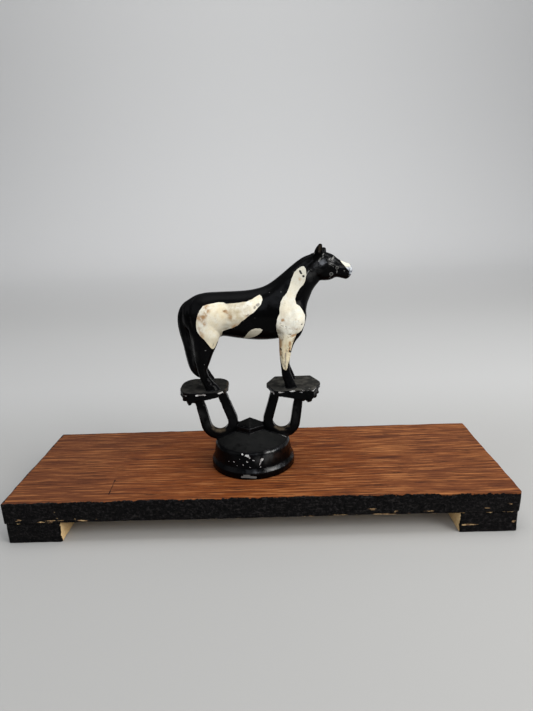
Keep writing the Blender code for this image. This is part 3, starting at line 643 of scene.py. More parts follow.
def fused_skin():
    """The forms joined, remeshed into one skin, softened and thinned out to the wanted number of faces."""
    group = bpy.data.collections.new("forms")
    casting_forms(group)
    thing = bpy.data.objects.new("skin", bpy.data.meshes.new("skin"))
    bpy.context.scene.collection.objects.link(thing)
    join = thing.modifiers.new("joined", "BOOLEAN")
    join.operation = "UNION"
    join.solver = "EXACT"
    join.operand_type = "COLLECTION"
    join.collection = group
    join.use_self = True
    fuse = thing.modifiers.new("fused", "REMESH")
    fuse.mode = "VOXEL"
    fuse.voxel_size = SKIN_CELL
    soften = thing.modifiers.new("softened", "SMOOTH")
    soften.factor = 0.5
    soften.iterations = SKIN_SMOOTH_PASSES
    graph = bpy.context.evaluated_depsgraph_get()
    mesh = bpy.data.meshes.new_from_object(thing.evaluated_get(graph))
    shape = bmesh.new()
    shape.from_mesh(mesh)
    everything = shape.verts[:] + shape.edges[:] + shape.faces[:]
    bmesh.ops.bisect_plane(shape, geom=everything, plane_co=(0, 0, 0), plane_no=(0, 0, -1), clear_outer=True)
    rim = [edge for edge in shape.edges if edge.is_boundary]
    bmesh.ops.contextual_create(shape, geom=rim)
    bmesh.ops.triangulate(shape, faces=shape.faces)
    bmesh.ops.recalc_face_normals(shape, faces=shape.faces)
    shape.to_mesh(mesh)
    shape.free()
    for old in list(group.objects) + [thing]:
        bpy.data.objects.remove(old)
    thinned = bpy.data.objects.new("thinned", mesh)
    bpy.context.scene.collection.objects.link(thinned)
    thin = thinned.modifiers.new("thinned", "DECIMATE")
    thin.ratio = min(1.0, SKIN_TRIANGLES / len(mesh.polygons))
    graph = bpy.context.evaluated_depsgraph_get()
    mesh = bpy.data.meshes.new_from_object(thinned.evaluated_get(graph))
    bpy.data.objects.remove(thinned)
    return mesh


def edge_ends(mesh):
    ends = np.empty(len(mesh.edges) * 2, int)
    mesh.edges.foreach_get("vertices", ends)
    return ends.reshape(-1, 2).T


def neighbour_mean(values, first, second):
    """Mean of each point's neighbours along the edges."""
    count = np.bincount(first, minlength=len(values)) + np.bincount(second, minlength=len(values))
    if values.ndim == 1:
        return (
            np.bincount(first, values[second], len(values)) + np.bincount(second, values[first], len(values))
        ) / count
    return np.stack([neighbour_mean(column, first, second) for column in values.T], axis=1)


def soften_body(mesh):
    """Melts the joints between trunk, neck, thighs and shoulders, and leaves head, legs and stand crisp."""
    points = vertex_values(mesh, "co")
    first, second = edge_ends(mesh)
    share = np.clip((points[:, 2] - 72.0) / 8.0, 0.0, 1.0) * np.clip((33.0 - points[:, 0]) / 4.0, 0.0, 1.0)
    share *= 0.1 + 0.9 * np.clip((points[:, 0] + 16.0) / 12.0, 0.0, 1.0)
    for _ in range(BODY_SOFTENING_PASSES):
        points += 0.5 * share[:, None] * (neighbour_mean(points, first, second) - points)
    points += vertex_values(mesh, "normal") * (BODY_SWELLING * share[:, None])
    mesh.vertices.foreach_set("co", points.ravel())
    mesh.update()


def vertex_values(mesh, name):
    values = np.empty(len(mesh.vertices) * 3)
    mesh.vertices.foreach_get(name, values)
    return values.reshape(-1, 3)


def line_distance(flat, points):
    """Distance of each flat point from a line of points, or from a single point."""
    points = np.array(points, float)
    if len(points) == 1:
        return np.linalg.norm(flat - points[0], axis=1)
    nearest = np.full(len(flat), np.inf)
    for start, end in zip(points[:-1], points[1:]):
        run = end - start
        share = np.clip((flat - start) @ run / max(run @ run, 1e-9), 0.0, 1.0)
        nearest = np.minimum(nearest, np.linalg.norm(flat - start - share[:, None] * run, axis=1))
    return nearest


def depth_inside(flat, outline):
    """Distance from the outline: positive inside it."""
    outline = np.array(outline, float)
    closed = np.vstack((outline, outline[:1]))
    inside = np.zeros(len(flat), bool)
    for start, end in zip(closed[:-1], closed[1:]):
        crosses = (start[1] > flat[:, 1]) != (end[1] > flat[:, 1])
        level = (flat[:, 1] - start[1]) / (end[1] - start[1] if end[1] != start[1] else 1.0)
        inside ^= crosses & (flat[:, 0] < start[0] + level * (end[0] - start[0]))
    return np.where(inside, 1.0, -1.0) * line_distance(flat, closed)


def seen_from(view):
    return ("near", "far") if view == "sides" else (view,)


def carve(mesh):
    """Raises and sinks the skin along the carving's lines."""
    points = vertex_values(mesh, "co")
    normals = vertex_values(mesh, "normal")
    moved = np.zeros(len(points))
    for view, line, reach, height in CARVING:
        for name in seen_from(view):
            axes, toward = VIEWS[name]
            facing = np.clip((normals @ np.array(toward) - 0.05) / 0.3, 0.0, 1.0)
            near = np.clip(line_distance(points[:, axes], line) / reach, 0.0, 1.0)
            moved += height * facing * (1.0 - near ** 2) ** 2
    first, second = edge_ends(mesh)
    for _ in range(CARVING_SOFTENING_PASSES):
        moved = 0.5 * moved + 0.5 * neighbour_mean(moved, first, second)
    points += normals * moved[:, None]
    height = points[:, 2]
    lumpy = np.clip((PLATFORM_TOP - 0.3 - height) / 0.8, 0.0, 1.0) * np.clip((height - 31.0) / 3.0, 0.0, 1.0)
    rough = (
        0.03 + 0.05 * (height < PLATFORM_TOP - 1.0) + lumpy * (0.25 + 0.25 * (np.abs(points[:, 0]) > 21.0))
    )
    uneven = np.array([
        noise.noise(Vector(point) * 0.45) + 0.5 * noise.noise(Vector(point) * 1.1) for point in points
    ])
    points += normals * ((uneven - 0.25) * rough)[:, None]
    points[:, 2] = np.maximum(points[:, 2], 0.0)
    mesh.vertices.foreach_set("co", points.ravel())
    mesh.update()


def add_attribute(mesh, name, values):
    mesh.attributes.new(name, "FLOAT", "POINT").data.foreach_set(
        "value", np.ascontiguousarray(values, np.float32)
    )


def signed_marks(points):
    """Millimetres inside each kind of mark in the paint, less than 0 outside it."""
    side = points[:, (0, 2)]
    near_side = -points[:, 1] - SIDE_BEGINS
    cream = np.full(len(points), WELL_OUTSIDE)
    for where, outline in PATCHES:
        if where == "far":
            outline = rows_between((*outline, outline[0]), 4)
        depth = depth_inside(side, outline)
        if where == "near":
            depth = np.minimum(depth, near_side)
        if where == "far":
            depth = np.minimum(depth, points[:, 1] - SIDE_BEGINS)
        cream = np.maximum(cream, depth)
    hidden = np.where(near_side > 0.0, 0.0, 20.0)
    marks = {"cream": cream}
    for name, places in (("chip", CHIPS), ("thin", THIN_CHIPS), ("pale", PALE_MARKS_AND_GLINT)):
        marks[name] = np.full(len(points), WELL_OUTSIDE)
        for line, half in places:
            marks[name] = np.maximum(marks[name], half - line_distance(side, line) - hidden)
    unrolled = np.stack((np.arctan2(points[:, 0], -points[:, 1]) * DRUM_RADIUS, points[:, 2]), axis=1)
    bare = np.full(len(points), WELL_OUTSIDE)
    for start, end, half in BASE_CHIPS:
        line = [(math.radians(turn) * DRUM_RADIUS, height) for turn, height in (start, end)]
        bare = np.maximum(bare, half - line_distance(unrolled, line))
    on_drum = (np.hypot(points[:, 0], points[:, 1]) > DRUM_RADIUS - 1.5) & (points[:, 2] < DRUM_HEIGHT + 1.0)
    bare = np.where(on_drum, bare, WELL_OUTSIDE)
    for (start, end), height, half in PLATFORM_CHIPS:
        depth = half - line_distance(side, ((start, height), (end, height)))
        bare = np.maximum(bare, np.where(points[:, 1] < -7.0, depth, WELL_OUTSIDE))
    marks["bare"] = bare
    return marks


def refine(mesh):
    """Splits the edges that lie close to a mark's outline, so that the outline stays crisp."""
    for _ in range(MARK_ROUNDS):
        points = vertex_values(mesh, "co")
        first, second = edge_ends(mesh)
        length = np.linalg.norm(points[first] - points[second], axis=1)
        long_edges = np.nonzero(length > MARK_CELL)[0]
        middles = (points[first[long_edges]] + points[second[long_edges]]) / 2
        reach = MARK_BAND + length[long_edges] / 2
        close = np.zeros(len(long_edges), bool)
        for depth in signed_marks(middles).values():
            close |= np.abs(depth) < reach
        shape = bmesh.new()
        shape.from_mesh(mesh)
        shape.edges.ensure_lookup_table()
        bmesh.ops.subdivide_edges(shape, edges=[shape.edges[place] for place in long_edges[close]], cuts=1)
        bmesh.ops.triangulate(shape, faces=[face for face in shape.faces if len(face.verts) > 3])
        shape.to_mesh(mesh)
        shape.free()
    mesh.update()


def nearness(side, places):
    """Greatest strength at each point of places that fade out over their reach."""
    strongest = np.zeros(len(side))
    for line, reach, strength in places:
        strongest = np.maximum(
            strongest, strength * np.clip(1.0 - line_distance(side, line) / reach, 0.0, 1.0)
        )
    return strongest


def mark_casting(mesh):
    """Writes what the paint needs to know at each point: marks, stains, dust with painted light, and wear."""
    points = vertex_values(mesh, "co")
    normals = vertex_values(mesh, "normal")
    side = points[:, (0, 2)]
    height = points[:, 2]
    for name, depth in signed_marks(points).items():
        add_attribute(mesh, name + "_mm", depth)
    add_attribute(mesh, "stain", nearness(side, STAINS) * (points[:, 1] < -SIDE_BEGINS))
    add_attribute(
        mesh, "brown",
        nearness(side, BROWN_PLACES) * np.clip(normals[:, 2] * 3.0 + 0.6 + (height > 100.0), 0.0, 1.0),
    )
    # Dust on the dome, more toward the back. On the horse and platforms the share is 1.0 on the fore side and
    # 0.4 on the hind side, which paints the fore platform's top lighter: painted light from the right.
    dome_dust = 0.02 + 0.2 * np.clip((points[:, 1] + 8.0) / 16.0, 0.0, 1.0)
    add_attribute(mesh, "dust_and_light", np.where(height > 30.0, np.where(points[:, 0] > 0.0, 1.0, 0.4), dome_dust))
    add_attribute(mesh, "polish", np.minimum(nearness(side, POLISHED_PLACES), 1.0) * (points[:, 1] < 0.0))
    first, second = edge_ends(mesh)
    spacing = np.linalg.norm(points[first] - points[second], axis=1).mean()
    bulge = ((points - neighbour_mean(points, first, second)) * normals).sum(axis=1) / spacing
    for _ in range(2):
        bulge = 0.5 * bulge + 0.5 * neighbour_mean(bulge, first, second)
    on_platforms = (height > 36.0) & (height < PLATFORM_TOP + 0.2) & (np.abs(points[:, 0]) > 8.0)
    bulge = np.where(on_platforms, bulge, 0.0)
    add_attribute(mesh, "bulge", bulge)
    add_attribute(mesh, "height_mm", height)


def grid_lines(low, high, coarse):
    """Places along one side of a box, close together near both ends."""
    fine = np.arange(0.0, FINE_BAND, FINE_GRID)
    inner = np.linspace(
        low + FINE_BAND, high - FINE_BAND, max(2, round((high - low - 2 * FINE_BAND) / coarse) + 1)
    )
    return np.concatenate((low + fine, inner, (high - fine)[::-1]))


def wooden_piece(name, spacing, bare_side, skew):
    """Sawn piece in the place of the solid of that name. bare_side is the X side left unpainted."""
    low, high = (np.array(corner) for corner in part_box(name))
    lines = [grid_lines(low[axis], high[axis], spacing[axis]) for axis in range(3)]
    counts = [len(line) for line in lines]
    index = {}
    points = []

    def corner(place):
        if place not in index:
            index[place] = len(points)
            points.append([lines[axis][place[axis]] for axis in range(3)])
        return index[place]

    faces = []
    for axis in range(3):
        across, along = (axis + 1) % 3, (axis + 2) % 3
        for end in (0, counts[axis] - 1):
            for i in range(counts[across] - 1):
                for j in range(counts[along] - 1):
                    quad = []
                    for step_i, step_j in ((0, 0), (1, 0), (1, 1), (0, 1)):
                        place = [0, 0, 0]
                        place[axis], place[across], place[along] = end, i + step_i, j + step_j
                        quad.append(corner(tuple(place)))
                    faces.append(quad if end else quad[::-1])
    points = np.array(points)
    from_low = points - low
    from_high = high - points
    sides = [from_low[:, 1], from_high[:, 1]]
    if bare_side >= 0:
        sides.append(from_low[:, 0])
    if bare_side <= 0:
        sides.append(from_high[:, 0])
    bare = [from_low[:, 2], from_high[:, 2]]
    if bare_side:
        bare.append((from_high if bare_side > 0 else from_low)[:, 0])
    paint = PAINT_SPILL - np.min(sides, axis=0) / MM + np.min(bare, axis=0) / MM
    if not bare_side:
        paint -= (
            RIGHT_REVEAL * np.clip((points[:, 0] - 0.03) / 0.09, 0.0, 1.0)
            * (from_high[:, 2] < from_low[:, 2])
        )
    chips = np.full(len(points), WELL_OUTSIDE)
    for x, z, half_long, half_high in WOOD_CHIPS:
        reach = np.hypot((points[:, 0] - x) / half_long, (points[:, 2] - z) / half_high)
        chips = np.maximum(chips, np.where(from_low[:, 1] < 0.001, 1.0 - reach, WELL_OUTSIDE))
    wear = EDGE_WEAR * np.array([0.8 + 0.5 * noise.noise(Vector(point) * 160.0) for point in points])
    inner = np.clip(points, low + wear[:, None], high - wear[:, None])
    off = points - inner
    length = np.linalg.norm(off, axis=1)
    length[length == 0.0] = 1.0
    points = inner + off / length[:, None] * wear[:, None]
    wave = np.array([
        [noise.noise(Vector((point[0] * 45.0, point[1] * 45.0, row * 7.3))) for row in range(2)]
        for point in points
    ])
    wave += np.array([
        0.6 * noise.noise(Vector((point[0] * 210.0, point[1] * 210.0, point[2] * 150.0))) for point in points
    ])[:, None]
    middle = (low + high) / 2
    half = (high - low) / 2
    corner_round = np.where(points[:, 0] > middle[0], RIGHT_CORNER_ROUND, LEFT_CORNER_ROUND)
    for way in (-1.0, 1.0):
        along = np.abs(points[:, 0] - middle[0]) - (half[0] - corner_round)
        across = way * (points[:, 1] - middle[1]) - (half[1] - corner_round)
        share = np.where(
            (along > 0.0) & (across > 0.0),
            np.maximum(along, across) / np.maximum(np.hypot(along, across), 1e-9), 1.0,
        )
        points[:, 0] -= np.sign(points[:, 0] - middle[0]) * along * (1.0 - share)
        points[:, 1] -= way * across * (1.0 - share)
    pull = np.clip(np.abs(points - middle) / half, 0.0, 1.0) ** 12
    for axis in (0, 1):
        points[:, axis] -= (
            np.sign(points[:, axis] - middle[axis]) * pull[:, axis] * EDGE_WAVE
            * np.maximum(0.5 + wave[:, axis], 0.0)
        )
    share = np.clip((points[:, 1] - low[1]) / (high[1] - low[1]), 0.0, 1.0)
    points[:, 0] -= skew * share * (points[:, 0] > middle[0]) * pull[:, 0]
    mesh = bpy.data.meshes.new(name + "_wood")
    mesh.from_pydata(points.tolist(), [], faces)
    mesh.validate()
    mesh.polygons.foreach_set("use_smooth", [True] * len(mesh.polygons))
    add_attribute(mesh, "paint_mm", paint)
    add_attribute(mesh, "chips", chips)
    piece = bpy.data.objects.new(name + "_wood", mesh)
    bpy.context.scene.collection.objects.link(piece)
    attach(piece, "root")
    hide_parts(name)
    return piece


class Nodes:
    """Short calls for the nodes of one material."""

    def __init__(self, name):
        self.material = bpy.data.materials.new(name)
        self.material.use_nodes = True
        self.tree = self.material.node_tree
        self.shader = self.tree.nodes["Principled BSDF"]
        self.place = self.add("ShaderNodeTexCoord").outputs["Object"]

    def add(self, kind, inputs=(), **settings):
        node = self.tree.nodes.new(kind)
        for name, value in settings.items():
            setattr(node, name, value)
        for name, value in dict(inputs).items():
            if isinstance(value, bpy.types.NodeSocket):
                self.tree.links.new(value, node.inputs[name])
            else:
                node.inputs[name].default_value = value
        return node

    def attribute(self, name):
        return self.add("ShaderNodeAttribute", attribute_name=name).outputs["Fac"]

    def maths(self, operation, first, second=0.0, third=0.0):
        node = self.add("ShaderNodeMath", {0: first, 1: second, 2: third}, operation=operation)
        return node.outputs[0]

    def times(self, first, second):
        return self.maths("MULTIPLY", first, second)

    def plus(self, first, second):
        return self.maths("ADD", first, second)

    def noise(self, scale, detail=3.0, roughness=0.55, place=None):
        inputs = {"Vector": place or self.place, "Scale": scale, "Detail": detail, "Roughness": roughness}
        return self.add("ShaderNodeTexNoise", inputs).outputs["Fac"]

    def stretched(self, x, y, z):
        return self.add("ShaderNodeMapping", {"Vector": self.place, "Scale": (x, y, z)}).outputs["Vector"]

    def between(self, value, low, high):
        """0 below low and 1 above high, or the other way round where low is the larger."""
        inputs = {"Value": value, "From Min": low, "From Max": high}
        return self.add("ShaderNodeMapRange", inputs, interpolation_type="SMOOTHSTEP").outputs["Result"]

    def mix(self, share, first, second):
        node = self.add("ShaderNodeMix", data_type="RGBA")
        for socket, value in ((node.inputs[0], share), (node.inputs[6], first), (node.inputs[7], second)):
            if isinstance(value, bpy.types.NodeSocket):
                self.tree.links.new(value, socket)
            else:
                socket.default_value = value if isinstance(value, float) else (*value, 1.0)
        return node.outputs[2]

    def blend(self, share, first, second):
        node = self.add("ShaderNodeMix", {0: share, 2: first, 3: second}, data_type="FLOAT")
        return node.outputs[0]

    def finish(self, colour, roughness, height, distance, metallic=None):
        bump = self.add("ShaderNodeBump", {"Height": height, "Distance": distance, "Strength": 1.0})
        self.tree.links.new(colour, self.shader.inputs["Base Color"])
        self.tree.links.new(roughness, self.shader.inputs["Roughness"])
        self.tree.links.new(bump.outputs["Normal"], self.shader.inputs["Normal"])
        if metallic:
            self.tree.links.new(metallic, self.shader.inputs["Metallic"])
        return self.material


def painted_casting():
    """Black enamel with cream patches over white metal: stained, dusty on top and worn at the edges, with
    painted light and shade in places.
    """
    n = Nodes("painted_casting")
    broad = n.noise(90.0, 3.0)
    middling = n.noise(420.0, 4.0)
    fine = n.noise(1900.0, 3.0)
    ragged = n.plus(n.times(middling, 0.5), n.times(fine, 0.22))
    ragged = n.maths("SUBTRACT", ragged, 0.36)
    cream = n.between(n.plus(n.attribute("cream_mm"), n.times(ragged, 0.9)), -0.05, 0.07)

    enamel = n.mix(n.between(broad, 0.35, 0.7), (0.0007, 0.0007, 0.0008), (0.0016, 0.0016, 0.0019))
    up = n.add("ShaderNodeSeparateXYZ", {0: n.add("ShaderNodeNewGeometry").outputs["Normal"]}).outputs["Z"]
    low_down = n.between(n.attribute("height_mm"), 45.0, 43.0)
    dusty = n.times(n.between(up, 0.72, 0.97), low_down)
    dusty = n.times(dusty, n.between(n.plus(broad, middling), 0.45, 1.05))
    # Dust colour on up-facing tops, lighter where the share is high: partly real dust, partly painted light
    # on the fore platform.
    dust_and_light = n.mix(n.between(n.noise(260.0, 4.0), 0.4, 0.65), (0.036, 0.035, 0.032), (0.086, 0.081, 0.070))
    dust_and_light = n.mix(n.attribute("dust_and_light"), (0.0100, 0.0102, 0.0100), dust_and_light)
    # Top of the back made lighter and without gloss: a painted highlight.
    back = n.times(n.between(up, 0.2, 0.9), n.between(n.attribute("height_mm"), 80.0, 88.0))
    enamel = n.mix(n.times(back, 0.6), enamel, (0.0060, 0.0060, 0.0062))
    black = n.mix(dusty, enamel, dust_and_light)

    worn = n.plus(n.attribute("bulge"), n.times(n.maths("SUBTRACT", n.noise(330.0, 5.0, 0.7), 0.5), 0.7))
    worn = n.between(worn, 0.30, 0.40)
    black = n.mix(n.times(worn, 0.7), black, (0.045, 0.043, 0.040))
    # Brownish, matte paint at the listed places.
    brownish_matte = n.times(n.attribute("brown"), n.between(n.noise(520.0, 4.0), 0.3, 0.6))
    black = n.mix(brownish_matte, black, (0.100, 0.074, 0.046))
    bare = n.between(n.plus(n.attribute("bare_mm"), n.times(ragged, 3.0)), 0.02, 0.20)
    metal = n.mix(n.between(middling, 0.35, 0.65), (0.27, 0.265, 0.255), (0.52, 0.51, 0.49))
    # Pale marks in the black paint, one of them a painted glint below the eye
    pale = n.between(n.plus(n.attribute("pale_mm"), n.times(ragged, 1.4)), -0.08, 0.16)
    black = n.mix(n.times(pale, 0.75), black, (0.16, 0.158, 0.148))

    aged = n.between(n.plus(broad, n.times(middling, 0.5)), 0.55, 0.95)
    cream_colour = n.mix(aged, (0.70, 0.69, 0.61), (0.66, 0.575, 0.40))
    grime = n.between(n.plus(n.noise(150.0, 5.0, 0.7), n.times(middling, 0.3)), 0.62, 0.90)
    cream_colour = n.mix(n.times(grime, 0.5), cream_colour, (0.44, 0.33, 0.19))
    across = n.add("ShaderNodeSeparateXYZ", {0: n.place}).outputs["X"]
    # Flank darker and browner: partly stain, partly painted shade in the hollow of the flank
    flank = n.times(n.between(across, -0.016, -0.009), n.between(across, 0.002, -0.004))
    cream_colour = n.mix(n.times(flank, n.between(middling, 0.2, 0.9)), cream_colour, (0.38, 0.315, 0.205))
    # Cream whiter and bluer toward the front: a painted highlight on the shoulder
    cream_colour = n.mix(n.times(n.between(across, 0.006, 0.012), 0.35), cream_colour, (0.63, 0.64, 0.59))
    cream_colour = n.mix(
        n.times(n.between(n.attribute("height_mm"), 91.0, 99.0), 0.7), cream_colour, (0.47, 0.45, 0.37)
    )
    cream_colour = n.mix(n.times(n.between(fine, 0.45, 0.70), 0.35), cream_colour, (0.50, 0.43, 0.29))
    cream_colour = n.mix(n.between(n.attribute("height_mm"), 76.0, 66.0), cream_colour, (0.57, 0.50, 0.34))
    # Cream darker where it faces down: painted shade under the belly and other undersides
    cream_colour = n.mix(n.between(up, 0.05, -0.7), cream_colour, (0.40, 0.37, 0.28))
    mottled = n.mix(n.between(n.noise(800.0, 3.0), 0.42, 0.60), (0.46, 0.48, 0.50), (0.09, 0.10, 0.12))
    low_or_front = n.maths(
        "MAXIMUM", n.between(n.attribute("height_mm"), 104.4, 102.8), n.between(across, 0.0476, 0.0490)
    )
    blaze = n.mix(low_or_front, (0.60, 0.57, 0.46), mottled)
    cream_colour = n.mix(n.between(across, 0.0405, 0.042), cream_colour, blaze)
    brown = n.times(n.attribute("stain"), n.between(middling, 0.25, 0.6))
    cream_colour = n.mix(n.between(brown, 0.02, 0.5), cream_colour, (0.35, 0.215, 0.105))
    cream_colour = n.mix(n.between(brown, 0.48, 0.85), cream_colour, (0.11, 0.052, 0.024))
    specks = n.between(n.noise(620.0, 3.0), 0.70, 0.73)
    cream_colour = n.mix(n.times(specks, 0.7), cream_colour, (0.16, 0.09, 0.045))
    dirty_leg = n.times(n.between(n.attribute("height_mm"), 84.0, 72.0), n.between(across, 0.006, 0.010))
    dirt = n.between(n.noise(480.0, 4.0, 0.7), 0.53, 0.64)
    cream_colour = n.mix(n.times(dirt, n.times(dirty_leg, 0.75)), cream_colour, (0.22, 0.165, 0.10))
    chip = n.between(n.plus(n.attribute("chip_mm"), n.times(ragged, 0.8)), -0.06, 0.1)
    cream_colour = n.mix(chip, cream_colour, (0.012, 0.011, 0.011))
    thin = n.between(n.plus(n.attribute("thin_mm"), n.times(ragged, 2.2)), -0.1, 0.3)
    cream_colour = n.mix(n.times(thin, 0.85), cream_colour, (0.21, 0.19, 0.165))

    colour = n.mix(cream, black, cream_colour)
    colour = n.mix(bare, colour, metal)
    rough_black = n.blend(dusty, n.blend(n.between(broad, 0.3, 0.7), 0.14, 0.27), 0.55)
    rough = n.blend(cream, rough_black, n.blend(aged, 0.36, 0.5))
    rough = n.blend(n.maths("MAXIMUM", bare, brownish_matte), rough, 0.5)
    height = n.plus(n.times(cream, 0.35), n.times(middling, 0.55))
    height = n.plus(height, n.times(fine, 0.2))
    height = n.maths("SUBTRACT", height, n.times(n.maths("MAXIMUM", chip, bare), 0.5))
    polish = n.times(n.attribute("polish"), n.between(n.noise(300.0, 3.0), 0.3, 0.6))
    gloss = n.blend(cream, n.blend(polish, 0.05, 0.6), 0.2)
    gloss = n.blend(n.maths("MAXIMUM", n.between(dusty, 0.0, 0.5), n.times(back, 0.85)), gloss, 0.0)
    n.tree.links.new(gloss, n.shader.inputs["Specular IOR Level"])
    return n.finish(colour, rough, height, 0.00016, n.times(bare, 0.4))


def stand_wood(name, stained_top):
    """Wood with rough black paint on the sawn edges, chipped back to pale wood."""
    n = Nodes(name)
    broad = n.noise(28.0, 3.0)
    grain = n.noise(1.0, 4.0, 0.7, n.stretched(38.0, 860.0, 860.0))
    pores = n.noise(1.0, 3.0, 0.65, n.stretched(64.0, 1250.0, 1250.0))
    bands = n.noise(1.0, 3.0, 0.55, n.stretched(7.0, 210.0, 210.0))
    pale = n.mix(n.between(grain, 0.35, 0.65), (0.60, 0.41, 0.20), (0.70, 0.52, 0.28))
    if stained_top:
        stain = n.mix(n.between(bands, 0.3, 0.7), (0.142, 0.048, 0.018), (0.102, 0.034, 0.015))
        stain = n.mix(n.times(n.between(broad, 0.5, 0.75), 0.35), stain, (0.165, 0.060, 0.021))
        across = n.add("ShaderNodeSeparateXYZ", {0: n.place}).outputs["X"]
        # Stain darker toward the left end: painted shade, with the light falling from the right
        stain = n.mix(n.times(n.between(across, 0.0, -0.12), 0.4), stain, (0.082, 0.029, 0.014))
        # Stain darker and more saturated around the base: partly uneven stain, partly the base's shadow
        # painted in
        from_base = n.add(
            "ShaderNodeVectorMath", {0: n.place, 1: Vector(BASE_ON_BOARD)}, operation="DISTANCE"
        ).outputs["Value"]
        stain = n.mix(n.times(n.between(from_base, 0.095, 0.032), 0.8), stain, (0.135, 0.036, 0.009))
        # Golden streaks weaker toward the left end: painted light falling from the right
        stain = n.mix(
            n.times(n.between(grain, 0.48, 0.37), n.blend(n.between(across, -0.08, 0.08), 0.65, 1.0)),
            stain, (0.275, 0.108, 0.038),
        )
        stain = n.mix(n.times(n.between(grain, 0.52, 0.62), 0.85), stain, (0.050, 0.018, 0.011))
        stain = n.mix(n.times(n.between(pores, 0.59, 0.65), 0.85), stain, (0.028, 0.011, 0.007))
        start, end = (Vector(point) for point in SCRATCH)
        offset = n.add("ShaderNodeVectorMath", {0: n.place, 1: start}, operation="SUBTRACT").outputs[0]
        run = end - start
        share = n.add(
            "ShaderNodeVectorMath", {0: offset, 1: run / run.length_squared}, operation="DOT_PRODUCT"
        ).outputs["Value"]
        on_line = n.add(
            "ShaderNodeVectorMath", {0: run, "Scale": n.add("ShaderNodeClamp", {0: share}).outputs[0]},
            operation="SCALE",
        ).outputs[0]
        away = n.add("ShaderNodeVectorMath", {0: offset, 1: on_line}, operation="DISTANCE").outputs["Value"]
        scratch = n.times(n.between(away, 0.00045, 0.00025), n.between(n.noise(330.0, 2.0), 0.34, 0.50))
        stain = n.mix(scratch, stain, (0.02, 0.009, 0.007))
        up = n.add(
            "ShaderNodeSeparateXYZ", {0: n.add("ShaderNodeNewGeometry").outputs["Normal"]}
        ).outputs["Z"]
        wood = n.mix(n.between(up, -0.5, -0.2), pale, stain)
    else:
        wood = pale
    ragged = n.plus(n.noise(520.0, 4.0, 0.65), n.times(n.noise(150.0, 2.0), 0.8))
    ragged = n.maths("SUBTRACT", ragged, 0.9)
    paint = n.between(n.plus(n.attribute("paint_mm"), n.times(ragged, 4.0)), -0.06, 0.06)
    saw = n.noise(1.0, 5.0, 0.7, n.stretched(260.0, 260.0, 1300.0))
    lumps = n.noise(640.0, 5.0, 0.65)
    nicks = n.noise(1.0, 4.0, 0.6, n.stretched(210.0, 210.0, 1250.0))
    chips = n.plus(n.attribute("chips"), n.times(n.maths("SUBTRACT", nicks, 0.56), 7.0))
    chips = n.maths("MAXIMUM", n.between(chips, 0.15, 0.45), n.between(nicks, 0.755, 0.775))
    black = n.mix(n.between(lumps, 0.4, 0.7), (0.0004, 0.0004, 0.0005), (0.0060, 0.0052, 0.0052))
    black = n.mix(n.times(n.between(n.noise(900.0, 3.0, 0.6), 0.54, 0.66), 0.7), black, (0.019, 0.017, 0.017))
    bared = n.mix(n.between(lumps, 0.4, 0.6), (0.50, 0.34, 0.17), (0.20, 0.115, 0.06))
    black = n.mix(n.times(n.between(saw, 0.56, 0.68), 0.8), black, (0.024, 0.021, 0.020))
    black = n.mix(chips, black, bared)
    colour = n.mix(paint, wood, black)
    rough = n.blend(
        paint, n.blend(n.between(grain, 0.4, 0.7), 0.36, 0.55),
        n.blend(n.between(lumps, 0.3, 0.7), 0.42, 0.66),
    )
    height = n.maths("SUBTRACT", 0.5, n.times(n.plus(grain, pores), 0.16))
    painted_height = n.plus(n.times(lumps, 2.0), n.times(saw, 1.8))
    height = n.blend(paint, height, painted_height)
    n.tree.links.new(n.blend(paint, 0.012, 0.05), n.shader.inputs["Specular IOR Level"])
    return n.finish(colour, rough, height, 0.0003)


def figurine():
    mesh = fused_skin()
    soften_body(mesh)
    refine(mesh)
    carve(mesh)
    mark_casting(mesh)
    place = Matrix.Translation((CASTING_X, CASTING_Y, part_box("horse_figurine")[0].z))
    mesh.transform(place @ Matrix.Scale(MM, 4))
    mesh.polygons.foreach_set("use_smooth", [True] * len(mesh.polygons))
    mesh.materials.clear()
    mesh.materials.append(painted_casting())
    mesh.name = "cast_figurine"
    piece = bpy.data.objects.new("cast_figurine", mesh)
    bpy.context.scene.collection.objects.link(piece)
    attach(piece, "root")
    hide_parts("horse_figurine")


def stand():
    board = wooden_piece("board", (0.001, 0.0025, 0.001), 0, BOARD_SKEW)
    board.data.materials.append(stand_wood("stained_board", True))
    left = wooden_piece("left_batten", (0.001, 0.002, 0.001), 1, 0.0)
    right = wooden_piece("right_batten", (0.001, 0.002, 0.001), -1, 0.0)
    batten_wood = stand_wood("painted_batten", False)
    left.data.materials.append(batten_wood)
    right.data.materials.append(batten_wood)


def camera():
    yaw, pitch, roll = (math.radians(turn) for turn in (CAMERA_YAW, CAMERA_PITCH, CAMERA_ROLL))
    ahead = Vector((-math.sin(yaw), math.cos(yaw), 0.0))
    right = Vector((math.cos(yaw), math.sin(yaw), 0.0))
    up = Vector((0.0, 0.0, 1.0))
    ahead, up = ahead * math.cos(pitch) - up * math.sin(pitch), up * math.cos(pitch) + ahead * math.sin(pitch)
    right, up = right * math.cos(roll) + up * math.sin(roll), up * math.cos(roll) - right * math.sin(roll)
    data = bpy.data.cameras.new("camera")
    data.lens = CAMERA_LENS
    data.sensor_width = 36.0
    data.clip_start = 0.01
    thing = bpy.data.objects.new("camera", data)
    thing.matrix_world = Matrix((right, up, -ahead)).transposed().to_4x4()
    thing.location = CAMERA_PLACE
    bpy.context.scene.collection.objects.link(thing)
    bpy.context.scene.camera = thing


def area_light(name, place, target, size, power, colour):
    data = bpy.data.lights.new(name, "AREA")
    data.size = size
    data.energy = power
    data.color = colour
    thing = bpy.data.objects.new(name, data)
    thing.location = place
    thing.rotation_euler = (Vector(target) - Vector(place)).to_track_quat("-Z", "Y").to_euler()
    bpy.context.scene.collection.objects.link(thing)


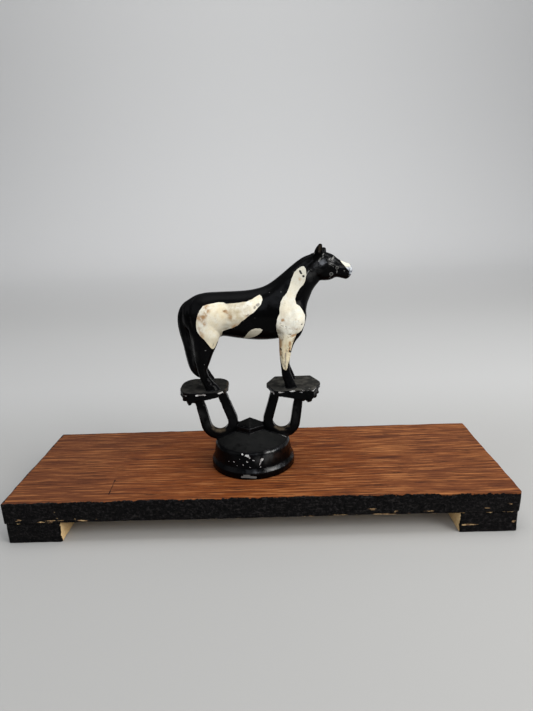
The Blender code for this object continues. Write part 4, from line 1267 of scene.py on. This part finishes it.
def studio():
    """Pale floor that sweeps up behind the object, soft light from above and a little from the front."""
    profile = [(SWEEP_FRONT, 0.0), (SWEEP_BACK, 0.0)]
    for step in range(1, SWEEP_BEND_STEPS + 1):
        turn = math.radians(90 * step / SWEEP_BEND_STEPS)
        profile.append((SWEEP_BACK + SWEEP_BEND * math.sin(turn), SWEEP_BEND - SWEEP_BEND * math.cos(turn)))
    profile.append((SWEEP_BACK + SWEEP_BEND, SWEEP_TOP))
    points = []
    for y, z in profile:
        points += [(-SWEEP_HALF_WIDTH, y, z), (SWEEP_HALF_WIDTH, y, z)]
    faces = [(2 * step, 2 * step + 1, 2 * step + 3, 2 * step + 2) for step in range(len(profile) - 1)]
    mesh = bpy.data.meshes.new("sweep")
    mesh.from_pydata(points, [], faces)
    mesh.polygons.foreach_set("use_smooth", [True] * len(mesh.polygons))
    n = Nodes("pale_sweep")
    split = n.add("ShaderNodeSeparateXYZ", {0: n.place})
    far, rise = split.outputs["Y"], split.outputs["Z"]
    colour = n.mix(n.between(far, 0.03, 0.2), (0.312, 0.308, 0.297), (0.40, 0.398, 0.39))
    colour = n.mix(n.between(far, 0.45, 1.2), colour, (0.64, 0.64, 0.635))
    colour = n.mix(n.between(rise, 0.1, 0.45), colour, (0.62, 0.62, 0.615))
    n.tree.links.new(colour, n.shader.inputs["Base Color"])
    n.shader.inputs["Roughness"].default_value = 0.75
    mesh.materials.append(n.material)
    sweep = bpy.data.objects.new("sweep", mesh)
    bpy.context.scene.collection.objects.link(sweep)
    area_light("key", (0.57, -0.42, 0.5), (0.0, 0.0, 0.05), 0.45, 6.0, (1.0, 0.985, 0.96))
    area_light("window", (0.8, -0.12, 0.4), (0.0, 0.0, 0.04), 0.3, 1.5, (0.93, 0.96, 1.0))
    area_light("fill", (-0.9, -0.5, 0.6), (0.0, 0.0, 0.06), 0.8, 2.0, (0.93, 0.96, 1.0))
    area_light("backdrop", (0.0, 0.1, 1.5), (0.0, 1.5, 0.7), 1.2, 14.5, (1.0, 1.0, 1.0))
    area_light("front", (-0.1, -0.9, 0.75), (0.0, 0.0, 0.08), 0.6, 4.0, (0.86, 0.91, 1.0))
    area_light("top", (0.0, 0.1, 1.1), (0.0, 0.0, 0.05), 0.8, 4.5, (0.97, 0.98, 1.0))
    world = bpy.data.worlds.new("room")
    bpy.context.scene.world = world
    world.use_nodes = True
    back = world.node_tree.nodes["Background"]
    back.inputs["Color"].default_value = (0.93, 0.95, 1.0, 1.0)
    back.inputs["Strength"].default_value = 0.22
    bpy.context.scene.view_settings.view_transform = "Standard"


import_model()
figurine()
stand()
camera()
studio()
